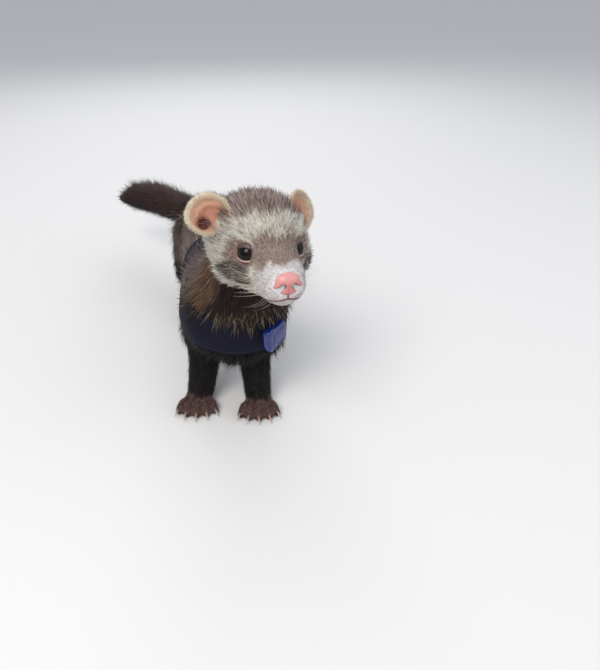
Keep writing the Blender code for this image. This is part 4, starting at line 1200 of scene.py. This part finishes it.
def ear_frame(side):
    """Middle of the cup, the way it opens, and its outward and upward directions, in the head's axes."""
    centre, normal = mirrored(EAR[side][0], side), unit(mirrored(EAR[side][1], side))
    up = unit(np.array([0, 0, 1.0]) - normal * normal[2])
    return centre, normal, unit(np.cross(up, normal)) * -side, up


def round_ear(points, side):
    """For points near an ear: the spoke from its middle, the turn round it, and the share of the way out to
    the rim."""
    centre, _, out, up = ear_frame(side)
    spoke = in_head(points) - centre
    turn = np.arctan2(spoke @ up, spoke @ out)
    return spoke, turn, np.hypot(spoke @ out, spoke @ up) / ear_reach(turn)


def ear(side, sides=72):
    """Inside wall, rolled rim and back wall as rings about the middle. The depth is one minus the squared
    share of the way out, and the fold and the pocket are bells added to it."""
    centre, normal, out, up = ear_frame(side)
    turn = np.linspace(0, 2 * np.pi, sides, endpoint=False)[None]
    inside = np.linspace(0.04, 0.97, 16)
    roll = np.linspace(0, np.pi, 7)[1:-1]
    level = np.concatenate([inside, 0.97 + 0.06 * np.sin(roll), inside[::-1]])[:, None]
    back = -EAR_THICKNESS + 0 * inside
    lift = np.concatenate([0 * inside, -EAR_THICKNESS / 2 * (1 - np.cos(roll)), back])[:, None]
    front = np.concatenate([1 + 0 * inside, 1 - ease(roll, 0.4, 2.2), 0 * inside])[:, None]
    radius = ear_reach(turn) * level
    hollow = EAR_DEPTH * (1 - level**2) - 0.9 * np.maximum(0, level - 0.8) / 0.2
    sideways, upwards = (level * np.cos(turn) + 0.42) / 0.30, (level * np.sin(turn) + 0.34) / 0.38
    pocket = np.exp(-(sideways**2) - upwards**2)
    fold = np.exp(-(((level - 0.62) / 0.10) ** 2)) * ease(np.cos(turn - 2.3), 0.1, 0.8)
    lift = lift - hollow + 0.8 * front * fold - 2.6 * pocket
    spoke = np.cos(turn)[..., None] * out + np.sin(turn)[..., None] * up
    grid = centre + spoke * radius[..., None] + lift[..., None] * normal
    obj = facing_out(mesh_object(f"ear_cup_{SIDE[side]}", *capped(from_head(grid))))
    flat = np.broadcast_arrays(front, level, pocket, fold, turn)
    front, level, pocket, fold, turn = (np.concatenate([a.ravel(), a[:1, 0], a[-1:, 0]]) for a in flat)
    colour = laid_over(plain(srgb(184, 128, 106), len(level)), srgb(200, 160, 134), ease(level, 0.5, 0.95))
    # The pocket is painted dark red: the canal's own skin, with painted shade of the hollow.
    colour = laid_over(colour, srgb(74, 24, 22), ease(pocket, 0.08, 0.55) * front)
    colour = laid_over(colour, CREAM * 0.9, ease(level, 0.9, 1.0) * front)
    store_colour(obj, laid_over(colour, NAPE * 0.8 + CREAM * 0.2, 1 - front))
    return obj


ears = {}
for s in (1, -1):
    ears[s] = ear(s)
    normal = ear_frame(s)[1]
    ear_points, ear_normals = points_of(ears[s]), normals_of(ears[s])
    spoke, turn, level = round_ear(ear_points, s)
    facing = ear_normals @ head_way(normal)
    dense = np.where(facing > 0.1, 0.5 + 8.0 * ease(level, 0.84, 0.97), 5.0) + 8.0 * ease(level, 0.93, 1.0)
    ear_roots, ear_root_normals = scattered(ear_points, ear_normals, triangles_of(ears[s]), dense)
    spoke, turn, level = round_ear(ear_roots, s)
    facing = ear_root_normals @ head_way(normal)
    outward = head_way(unit(spoke - (spoke @ normal)[:, None] * normal))
    count = len(ear_roots)
    inside = facing > 0.1
    fuzz = np.where(inside, 1.3 + 0.9 * ease(level, 0.8, 1.0), 2.4) * rng.uniform(0.75, 1.2, count)
    tone = np.where(inside[:, None], srgb(206, 176, 150), NAPE * 0.6 + CREAM * 0.4)
    tone = laid_over(tone, srgb(232, 216, 190), ease(level, 0.84, 0.96))
    tone = tone * np.exp(rng.normal(0, 0.12, count))[:, None]
    # The roots at 0.8 of the tone are painted shade at the skin.
    coat.append(grown(
        f"coat_ear_{SIDE[s]}", ear_roots, ear_root_normals,
        outward + rng.normal(0, 0.15, (count, 3)), fuzz, rng.uniform(0.25, 0.42, count),
        np.full(count, 22.0) + rng.normal(0, 5, count), tone * 0.8, np.clip(tone * 1.05, 0, 0.95),
        np.stack([turn / (2 * np.pi) + 0.5, np.clip(level / 1.1, 0, 1)], -1),
    ))

# %% [markdown]
# ## Hairs at the foot of each ear
#
# Long pale hairs of the head cross the front edge of the ear and hide where it joins the head. Without them
# the cup looks stuck on. A ray from inside the head towards the rim finds the skin beside it, and a hair
# grows from there towards the cup.

# %% Hairs at the foot of each ear
EAR_FOOT, EAR_FOOT_GAP = 900, 10
for s in (1, -1):
    centre, normal, out, up = ear_frame(s)
    turn = np.radians(rng.uniform(140, 300, EAR_FOOT))[:, None]
    spoke = np.cos(turn) * out + np.sin(turn) * up
    rim = centre + ear_reach(turn) * rng.uniform(0.8, 1.1, (EAR_FOOT, 1)) * spoke
    rim = from_head(rim + 2.0 * normal)
    inside = from_head((5, 8 * s, 0))
    roots_here = np.array([skin_at(inside, way) for way in unit(rim - inside)])
    near = np.linalg.norm(roots_here - rim, axis=1) < EAR_FOOT_GAP
    roots_here, turn = roots_here[near], turn[near]
    count = len(roots_here)
    brown = 0.55 * rng.random(count) * ease(np.sin(turn[:, 0]), -0.4, 0.5)
    tone = laid_over(plain(CREAM, count), CROWN, brown)
    # The roots at 0.55 of the tone are painted shade where the hairs leave the skin.
    coat.append(grown(
        f"coat_ear_foot_{SIDE[s]}", roots_here,
        unit(roots_here - inside),
        from_head(centre + 5 * normal) - roots_here + rng.normal(0, 1.5, (count, 3)),
        rng.uniform(6.5, 11, count), rng.uniform(0.28, 0.5, count), rng.normal(48, 7, count),
        tone * 0.55, tone, np.concatenate([turn / 7, 0.5 + 0 * turn], 1), bend=34.0,
    ))
    print("hairs at the foot of an ear:", count)

# %% [markdown]
# ## Claws
#
# A ferret can't draw its claws in, so all twenty show. Each is a cone carried along a path that hooks down,
# and it starts inside its toe so that no gap opens where the fur ends.

# %% Claws
CLAW_LENGTH = 5.5


def claw(start, way):
    """A cone along a path that drops by a share of the way and of its square, kept clear of the floor."""
    t = np.linspace(0, 1, 9)[:, None]
    path = start + way * CLAW_LENGTH * (t - 0.25) - np.array([0, 0, 1.0]) * (0.7 * t + 1.9 * t * t)
    radius = 1.0 - 0.85 * t[:, 0]
    path[:, 2] = np.maximum(path[:, 2], radius + FLOOR_GAP)
    return cord(path, radius, 10)


claws = []
for paw, starts in CLAWS.items():
    obj = facing_out(mesh_object(f"claws_{paw}", *joined(*(claw(start, way) for start, way in starts))))
    root = np.tile(np.concatenate([np.repeat(np.linspace(0, 1, 9), 10), [0, 1]]), 5)
    toward_tip = ease(root, 0.1, 0.7)
    store_colour(obj, laid_over(plain(srgb(120, 88, 80), len(root)), srgb(176, 158, 144), toward_tip))
    claws.append(obj)

# %% [markdown]
# ## Whiskers
#
# Stiff pale hairs stand in four rows of four on each pad of the muzzle, with a few more over the eye and
# under the chin. A ray finds each root on the skin. They are solid cones, less than a fifth of a millimetre
# thick at the root. They catch light as real ones do and need no transparent strip.

# %% Whiskers
WHISKER_STEPS = 12


def whisker(root, way, droop, length, radius):
    """A thin cone along a straight way, drawn aside by the square of the share along it."""
    t = np.linspace(0, 1, WHISKER_STEPS)[:, None]
    path = root + way * length * t + droop * length * t * t
    return cord(path, radius * (1 - 0.85 * t[:, 0]), 4)


whiskers = []
for s in (-1, 1):
    for row in range(4):
        for column in range(4):
            ahead, up = 46.0 - 2.8 * column - 0.5 * row, -8.0 - 1.9 * row
            start = skin_at(from_head((ahead, 0, up)), head_way((0, s, 0)))
            way = head_way((0.1 - 0.26 * column, s, 0.16 - 0.10 * row) + rng.normal(0, 0.06, 3))
            droop = head_way((-0.75, -0.25 * s, -0.10)) * rng.uniform(0.5, 0.9)
            whiskers.append(whisker(start - 0.6 * way, way, droop, rng.uniform(12, 19) + 1.5 * column, 0.085))
    for k in range(4):
        start = skin_at(from_head((24 + k, 0, 9 - 0.5 * k)), head_way((0.1, s, 0.35)))
        way = head_way((0.25 - 0.2 * k, 0.7 * s, 0.9))
        droop = head_way((-0.5, 0.2 * s, -0.2))
        whiskers.append(whisker(start - 0.5 * way, way, droop, rng.uniform(9, 13), 0.07))
    for k in range(4):
        start = skin_at(from_head((36 - 3 * k, 2.5 * s, -20)), head_way((0.1, 0.3 * s, -1)))
        way = head_way((0.15, 0.5 * s, -0.9))
        droop = head_way((-0.5, 0.1 * s, 0))
        whiskers.append(whisker(start - 0.5 * way, way, droop, rng.uniform(9, 14), 0.08))
whisker_piece = facing_out(mesh_object("whiskers", *joined(*whiskers)))

# %% [markdown]
# ## The throat's fringe
#
# Sparse long pale hairs hang from the throat over the edge of the breast band. They are the same solid
# tufts as the coat, but few, thin and with a wide spread of lengths, and they are rooted where rays from
# inside the neck meet the skin.

# %% The fringe
FRINGE = 190
fringe_turn = rng.uniform(-1.15, 1.0, FRINGE)
fringe_up = rng.uniform(77, 90, FRINGE)
fringe_root, fringe_normal = [], []
for turn, up in zip(fringe_turn, fringe_up):
    way_out = np.array([math.sin(turn), -math.cos(turn), -0.25])
    hit, normal, _, _ = flesh_tree.ray_cast(Vector(placed((17, 6, up))), Vector(way_out))
    fringe_root.append(np.array(hit) / MM - SHIFT)
    fringe_normal.append(np.array(normal))
fringe_root, fringe_normal = np.array(fringe_root), np.array(fringe_normal)
fringe_tone = laid_over(plain(srgb(196, 176, 150), FRINGE), srgb(110, 84, 66), rng.random(FRINGE))
# The roots at 0.7 of the tone are painted shade at the skin.
coat.append(grown(
    "coat_fringe", fringe_root, fringe_normal,
    np.tile([0.0, 0, -1.0], (FRINGE, 1)) + rng.normal(0, 0.3, (FRINGE, 3)),
    rng.uniform(7, 17, FRINGE), rng.uniform(0.16, 0.32, FRINGE), rng.normal(38, 10, FRINGE),
    fringe_tone * 0.7, fringe_tone, np.stack([fringe_turn / 6 + 0.5, (fringe_up - 70) / 30], -1), bend=30.0,
))

# %% [markdown]
# ## The harness
#
# A padded breast band runs forward from a girth behind the forelegs. Simulated cloth could be draped here,
# but a snug band has hardly any folds. Each band is a grid carried round the body in its own plane: a large
# loop is projected onto the coat, evened out as webbing that bridges hollows would be, and given a padded
# section with a bound edge.

# %% The bands
BAND_REST = 1.1
BAND_THICK = 1.6
LOOP_START = 80.0


def projected(band, turns, steps):
    """Places on the body round a band: each starts far out on the band's plane and is projected towards the
    middle. Returns the starts, the outward spokes and how far the skin lies from the middle."""
    centre, normal, width = np.array(band[0], float), unit(np.array(band[1], float)), band[2]
    across = unit(np.cross(normal, [0.0, 0, 1]) if abs(normal[2]) < 0.7 else np.cross(normal, [0, 1.0, 0]))
    spoke = np.cos(turns)[:, None] * across + np.sin(turns)[:, None] * np.cross(normal, across)
    starts = centre + spoke[:, None] * LOOP_START + (steps * width / 2)[None, :, None] * normal
    casts = zip(starts.reshape(-1, 3), np.repeat(-spoke, len(steps), axis=0))
    gap = [flesh_tree.ray_cast(Vector(placed(start)), Vector(way))[3] or 0.05 for start, way in casts]
    return starts, spoke, LOOP_START - np.array(gap).reshape(len(turns), len(steps)) / MM


def taut(reach, turns):
    """The reach of a loop that bridges hollows, as a pulled strap does. Seen from each direction the body's
    furthest place is the most of reach times the cosine of the turn between. The loop's own reach is the
    least of those over the same cosine."""
    cosine = np.cos(turns[:, None] - turns[None])[..., None]
    furthest = (cosine * reach[None]).max(1)
    return np.where(cosine > 0.2, furthest[None] / np.maximum(cosine, 0.2), np.inf).min(1)


def evened(values, times, closed):
    """Each value moved to the mean of its neighbours along the loop and across it."""
    for _ in range(times):
        ends = np.roll(values, 1, 0), np.roll(values, -1, 0)
        along_loop = (ends[0] + values + ends[1]) / 3
        values = along_loop if closed else np.concatenate([values[:1], along_loop[1:-1], values[-1:]])
        across_loop = (values[:, :-2] + values[:, 1:-1] + values[:, 2:]) / 3
        values = np.concatenate([values[:, :1], across_loop, values[:, -1:]], 1)
        values[:, [0, -1]] = 2 * values[:, [1, -2]] - values[:, [2, -3]]
    return values


def webbing(name, band, turns, closed, raise_by=0.0):
    """The padded band: outer face crowned between its bound edges, inner face against the coat."""
    steps = np.concatenate([[-1.0], np.linspace(-0.93, 0.93, 13), [1.0]])
    starts, spoke, reach = projected(band, turns, steps)
    reach = evened(taut(reach, turns), 10, closed) + BAND_REST + raise_by
    crown = BAND_THICK * (0.62 + 0.38 * (1 - np.abs(steps) ** 4))
    crown = crown + 0.35 * np.exp(-(((np.abs(steps) - 0.93) / 0.05) ** 2))
    outer = starts - spoke[:, None] * (LOOP_START - reach - crown)[..., None]
    inner = starts - spoke[:, None] * (LOOP_START - reach + 0.2)[..., None]
    grid = np.concatenate([outer, inner[:, ::-1]], 1)
    if closed:
        obj = mesh_object(name, grid.reshape(-1, 3), ring_faces(len(turns), grid.shape[1], True))
    else:
        obj = mesh_object(name, *capped(grid))
    facing_out(obj)
    run = run_of(outer[:, 7])
    cross_run = np.concatenate([steps, steps[::-1] + 4]) * band[2] / 2
    layer = obj.data.uv_layers.new(name="weave")
    corner = np.empty(len(obj.data.loops), np.int32)
    obj.data.loops.foreach_get("vertex_index", corner)
    uv = np.stack(np.broadcast_arrays(run[:, None], cross_run[None]), -1).reshape(-1, 2)
    uv = np.concatenate([uv, uv[-2:]])
    layer.data.foreach_set("uv", (uv[corner] / 10).astype(np.float32).ravel())
    edge = np.tile(np.exp(-(((np.abs(np.concatenate([steps, steps[::-1]])) - 1.0) / 0.1) ** 2)), len(turns))
    edge = np.concatenate([edge, [0, 0]])[:len(obj.data.vertices)]
    store_colour(obj, laid_over(plain(srgb(15, 17, 38), len(edge)), srgb(8, 9, 20), edge))
    return obj, outer


girth, girth_face = webbing("harness_girth", GIRTH, np.linspace(0, 2 * np.pi, 161)[:-1], True)
breast_turns = np.radians(np.linspace(-46, 226, 220))
breast, breast_face = webbing("harness_breast", BREAST_BAND, breast_turns, False, 0.3)
harness = [girth, breast]

# %% [markdown]
# ## The buckle
#
# A side-release buckle of glossy plastic: a crowned block with a waist where its two springs are pressed,
# and a shallow well on each side. It is one height field, so its rounded edges, wells and seams flow into
# each other as on a moulded part.

# %% The buckle
BUCKLE_AT, BUCKLE_SIZE = (28.5, -11.2, 60.8), (18, 15.5, 5.0)


def buckle(face):
    """A height field over a rounded rectangle: its rings shrink towards the middle while the top swells."""
    place = face[np.linalg.norm(face - np.array(BUCKLE_AT), axis=1).argmin()]
    out = unit(place - np.array([12.0, 6.0, place[2]]))
    down = unit(np.array([0, 0.1, -1.0]) - out * (out @ np.array([0, 0.1, -1.0])))
    along_band = np.cross(down, out)
    length, width, thick = BUCKLE_SIZE
    turn = np.linspace(0, 2 * np.pi, 96, endpoint=False)[None]
    top_rings = np.linspace(0.84, 0.04, 18)
    shrink = np.concatenate([[0.94, 1.0, 1.0, 1.0, 0.985, 0.95, 0.90], top_rings])[:, None]
    rise = np.concatenate([[0.0, 0.05, 0.45, 0.72, 0.84, 0.93, 0.98], 1 + 0.10 * (1 - top_rings**2)])
    c, s = np.cos(turn), np.sin(turn)
    a = length / 2 * shrink * np.sign(c) * np.abs(c) ** 0.42
    b = width / 2 * shrink * np.sign(s) * np.abs(s) ** 0.42
    b = b * (1 - 0.15 * np.exp(-(((a + 1.5) / 3.2) ** 2)))
    side_well = np.exp(-((np.abs(b) - 4.6) / 1.3) ** 4) * np.exp(-(((a + 1.5) / 4.2) ** 4))
    seam = np.exp(-(((a - 4.6) / 0.35) ** 2)) + 0.8 * np.exp(-(((a + 7.2) / 0.3) ** 2))
    top = rise[:, None] * thick - (rise[:, None] > 0.9) * (0.9 * side_well + 0.5 * seam)
    grid = place + a[..., None] * along_band + b[..., None] * down + (top - 0.6)[..., None] * out
    return facing_out(mesh_object("buckle", *capped(grid)))


buckle_piece = buckle(breast_face.reshape(-1, 3))
store_colour(buckle_piece, plain(srgb(14, 36, 104), len(buckle_piece.data.vertices)))

# %% [markdown]
# ## Stitches
#
# A row of short stitches runs inside each bound edge. A bump in the material would vanish at the outline,
# so each stitch is a little capsule that catches light, and hundreds are joined into one piece for each
# band.

# %% The stitches
STITCH, STITCH_STEP = 1.5, 2.3


def stitches(name, face, columns):
    """Capsules laid end to end along chosen lines of a band's outer face, at even lengths of the line."""
    made = []
    for column in columns:
        line = face[:, column]
        run = run_of(line)
        starts = np.arange(2.0, run[-1] - 2.0, STITCH_STEP)
        a = np.stack([np.interp(starts, run, line[:, k]) for k in range(3)], -1)
        b = np.stack([np.interp(starts + STITCH, run, line[:, k]) for k in range(3)], -1)
        way = unit(b - a)
        out = unit(a - a.mean(0))
        out = unit(out - way * (out * way).sum(1)[:, None])
        side = np.cross(way, out)
        rings = []
        for t, size in ((0, 0.10), (0.2, 0.27), (0.8, 0.27), (1, 0.10)):
            middle = a + (b - a) * t + out * (0.10 - 0.25 * abs(2 * t - 1) ** 3)
            offsets = (side * size, out * size, -side * size, -out * size)
            rings.append(np.stack([middle + offset for offset in offsets], 1))
        points = np.stack(rings, 1).reshape(-1, 3)
        base = (np.arange(len(a)) * 16)[:, None, None]
        ends = base + np.array([[[0, 1, 2, 3], [15, 14, 13, 12]]])
        quads = np.concatenate([(base + ring_faces(4, 4)[None]).reshape(-1, 4), ends.reshape(-1, 4)])
        made.append((points, quads, np.zeros((0, 3), int)))
    return facing_out(mesh_object(name, *joined(*made)[:2]))


seams = [
    stitches("harness_girth_stitches", girth_face, (2, 12)),
    stitches("harness_breast_stitches", breast_face, (2, 12)),
]

# %% [markdown]
# ## Finishes
#
# Each material but those of the whiskers, the thread and the floor reads the colour kept on the mesh's
# points, and adds what the real surface has at its own scale: lumps in skin and horn, threads in cloth, grain
# in plastic. All of it is computed, so no image has to travel with the model.


# %% Materials
def material(name, roughness, **sockets):
    """A principled shader with even values set on its own sockets; returns the tree to add nodes to."""
    made = bpy.data.materials.new(name)
    made.use_nodes = True
    tree = made.node_tree
    shader = tree.nodes["Principled BSDF"]
    shader.inputs["Roughness"].default_value = roughness
    for socket, value in sockets.items():
        shader.inputs[socket.replace("_", " ")].default_value = value
    return made, tree, shader


def node(tree, kind, **settings):
    """One node with its settings; names that match a socket set that socket's value."""
    made = tree.nodes.new(kind)
    for setting, value in settings.items():
        if setting in made.inputs:
            made.inputs[setting].default_value = value
        else:
            setattr(made, setting, value)
    return made


def marked(tree):
    """The colour kept on the mesh's points."""
    return node(tree, "ShaderNodeAttribute", attribute_name="marking").outputs["Color"]


def lumps(tree, scale, detail=3.0):
    """A noise with so many lumps to the metre."""
    where = node(tree, "ShaderNodeTexCoord").outputs["Object"]
    noise = node(tree, "ShaderNodeTexNoise", Scale=scale, Detail=detail)
    tree.links.new(where, noise.inputs["Vector"])
    return noise.outputs["Fac"]


def shaded(tree, colour, amount, low, high, dark=0.0, light=1.0):
    """A colour times a number that goes from low to high while the amount goes from dark to light."""
    span = node(tree, "ShaderNodeMapRange")
    tree.links.new(amount, span.inputs["Value"])
    for socket, value in (("From Min", dark), ("From Max", light), ("To Min", low), ("To Max", high)):
        span.inputs[socket].default_value = value
    mixed = node(tree, "ShaderNodeVectorMath", operation="SCALE")
    tree.links.new(colour, mixed.inputs[0])
    tree.links.new(span.outputs["Result"], mixed.inputs["Scale"])
    return mixed.outputs["Vector"]


def bumped(tree, shader, height, distance, strength=0.6):
    """The surface looks raised by the height, up to a distance in metres."""
    bump = node(tree, "ShaderNodeBump", Strength=strength, Distance=distance)
    tree.links.new(height, bump.inputs["Height"])
    tree.links.new(bump.outputs["Normal"], shader.inputs["Normal"])


def simple_finish(name, roughness, lump, low, high, bump_depth, **sockets):
    """The marking varied by lumps of one size, which also raise the surface."""
    made, tree, shader = material(name, roughness, **sockets)
    height = lumps(tree, 1 / lump)
    colour = shaded(tree, marked(tree), height, low, high, 0.3, 0.7)
    tree.links.new(colour, shader.inputs["Base Color"])
    bumped(tree, shader, height, bump_depth)
    return made


hair = simple_finish("hair", 0.6, 0.006, 0.86, 1.12, 0.0001, Specular_IOR_Level=0.3)
hide = simple_finish("hide", 0.8, 0.0012, 0.7, 1.1, 0.0004)
ear_skin = simple_finish(
    "ear_skin", 0.55, 0.0016, 0.88, 1.08, 0.0001, Subsurface_Weight=0.25, Subsurface_Scale=0.002,
)
nose_skin = simple_finish(
    "nose_skin", 0.36, 0.0006, 0.93, 1.05, 0.00006, Subsurface_Weight=0.2, Subsurface_Scale=0.0015,
)
lip_skin = simple_finish("lip_skin", 0.45, 0.001, 0.85, 1.1, 0.0001)
lid_skin = simple_finish("lid_skin", 0.4, 0.0008, 0.85, 1.1, 0.00008)
horn = simple_finish("horn", 0.35, 0.0015, 0.85, 1.1, 0.00004)
wet_eye, tree, shader = material("wet_eye", 0.05, Specular_IOR_Level=0.2)
colour = shaded(tree, marked(tree), lumps(tree, 1 / 0.0006), 0.7, 1.3, 0.3, 0.7)
tree.links.new(colour, shader.inputs["Base Color"])
whisker_hair = material("whisker_hair", 0.45, Base_Color=(*srgb(214, 204, 190), 1))[0]


def woven(name, roughness, threads):
    """Padded mesh cloth: two crossed waves along the band's own map raise the threads."""
    made, tree, shader = material(name, roughness, Specular_IOR_Level=0.2)
    uv = node(tree, "ShaderNodeUVMap", uv_map="weave").outputs["UV"]
    waves = []
    for direction in ("X", "Y"):
        wave = node(tree, "ShaderNodeTexWave", bands_direction=direction, Scale=threads, Distortion=0.4)
        tree.links.new(uv, wave.inputs["Vector"])
        waves.append(wave.outputs["Fac"])
    cross = node(tree, "ShaderNodeMath", operation="MULTIPLY")
    tree.links.new(waves[0], cross.inputs[0])
    tree.links.new(waves[1], cross.inputs[1])
    threads_shaded = shaded(tree, marked(tree), cross.outputs["Value"], 0.55, 1.5)
    tree.links.new(threads_shaded, shader.inputs["Base Color"])
    bumped(tree, shader, cross.outputs["Value"], 0.0004, 0.8)
    return made


webbing_cloth = woven("webbing_cloth", 0.8, 3.2)
thread = material("thread", 0.6, Base_Color=(*srgb(26, 28, 52), 1))[0]
moulded, tree, shader = material("moulded_blue", 0.2, Coat_Weight=0.3, Coat_Roughness=0.1)
grain = lumps(tree, 1400.0, 2.0)
tree.links.new(shaded(tree, marked(tree), grain, 0.75, 1.2), shader.inputs["Base Color"])
bumped(tree, shader, grain, 0.00003, 0.3)


def dressed(obj, finish):
    """The finish as the object's only material."""
    obj.data.materials.clear()
    obj.data.materials.append(finish)


FINISHES = (
    (hair, coat), (hide, [skin]), (ear_skin, ears.values()), (wet_eye, eyes), (lid_skin, rims), (horn, claws),
    (webbing_cloth, harness), (thread, seams), (nose_skin, [nose]), (lip_skin, [lips]),
    (whisker_hair, [whisker_piece]), (moulded, [buckle_piece]),
)
for finish, pieces in FINISHES:
    for piece in pieces:
        dressed(piece, finish)

# %% [markdown]
# ## What stands for what
#
# Every piece rides on the one body of the still model. The skin and coat replace the nodes of flesh, and
# the eyes, ears, nose, harness and buckle replace their own nodes.

# %% Riding and replacing
FLESH = (
    "head", "neck", "chest", "belly", "hips", "tail",
    "foreleg_left", "foreleg_right", "hindleg_left", "hindleg_right",
    "forepaw_left", "forepaw_right", "hindpaw_left", "hindpaw_right",
)
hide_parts(*FLESH)
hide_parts("eye_left")
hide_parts("eye_right")
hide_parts("ear_left")
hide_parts("ear_right")
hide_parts("nose")
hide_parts("harness")
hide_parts("harness_buckle")
body_pieces = [
    skin, nose, lips, whisker_piece, buckle_piece, *coat, *eyes, *rims, *ears.values(),
    *claws, *harness, *seams,
]
for piece in body_pieces:
    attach(piece, "root")
print("triangles:", {piece.name: len(triangles_of(piece)) for piece in body_pieces})
print("all:", sum(len(triangles_of(piece)) for piece in body_pieces))

# %% [markdown]
# ## Floor and light
#
# A plain pale floor, one large soft lamp from above the camera's left, a weaker one from the right, and a
# pale sky that gives most of the light, as on an overcast day.

# %% Floor, lamps and sky
FLOOR_HALF = 40000.0
floor_corners = np.array([(-1, -1, 0), (1, -1, 0), (1, 1, 0), (-1, 1, 0)]) * FLOOR_HALF
floor = mesh_object("floor", floor_corners, np.array([[0, 1, 2, 3]]))
dressed(floor, material("floor_paper", 0.9, Base_Color=(0.74, 0.73, 0.71, 1))[0])
MIDDLE = placed((15, 20, 80))


def lamp(name, at, size, power, colour):
    """A square soft lamp at a place of the animal's space, turned to the animal's middle."""
    data = bpy.data.lights.new(name, "AREA")
    data.shape, data.size, data.energy, data.color = "SQUARE", size, power, colour
    obj = bpy.data.objects.new(name, data)
    obj.location = placed(at)
    obj.rotation_euler = (Vector(MIDDLE) - obj.location).to_track_quat("-Z", "Y").to_euler()
    bpy.context.scene.collection.objects.link(obj)


lamp("key", (-450, -600, 950), 0.6, 9.5, (1.0, 0.97, 0.93))
lamp("fill", (800, -350, 500), 0.9, 2.0, (0.93, 0.96, 1.0))
lamp("back", (100, 900, 800), 0.8, 4.0, (1.0, 1.0, 1.0))
world = bpy.data.worlds.new("sky")
world.use_nodes = True
world.node_tree.nodes["Background"].inputs["Color"].default_value = (0.86, 0.9, 1.0, 1)
world.node_tree.nodes["Background"].inputs["Strength"].default_value = 0.62
bpy.context.scene.world = world
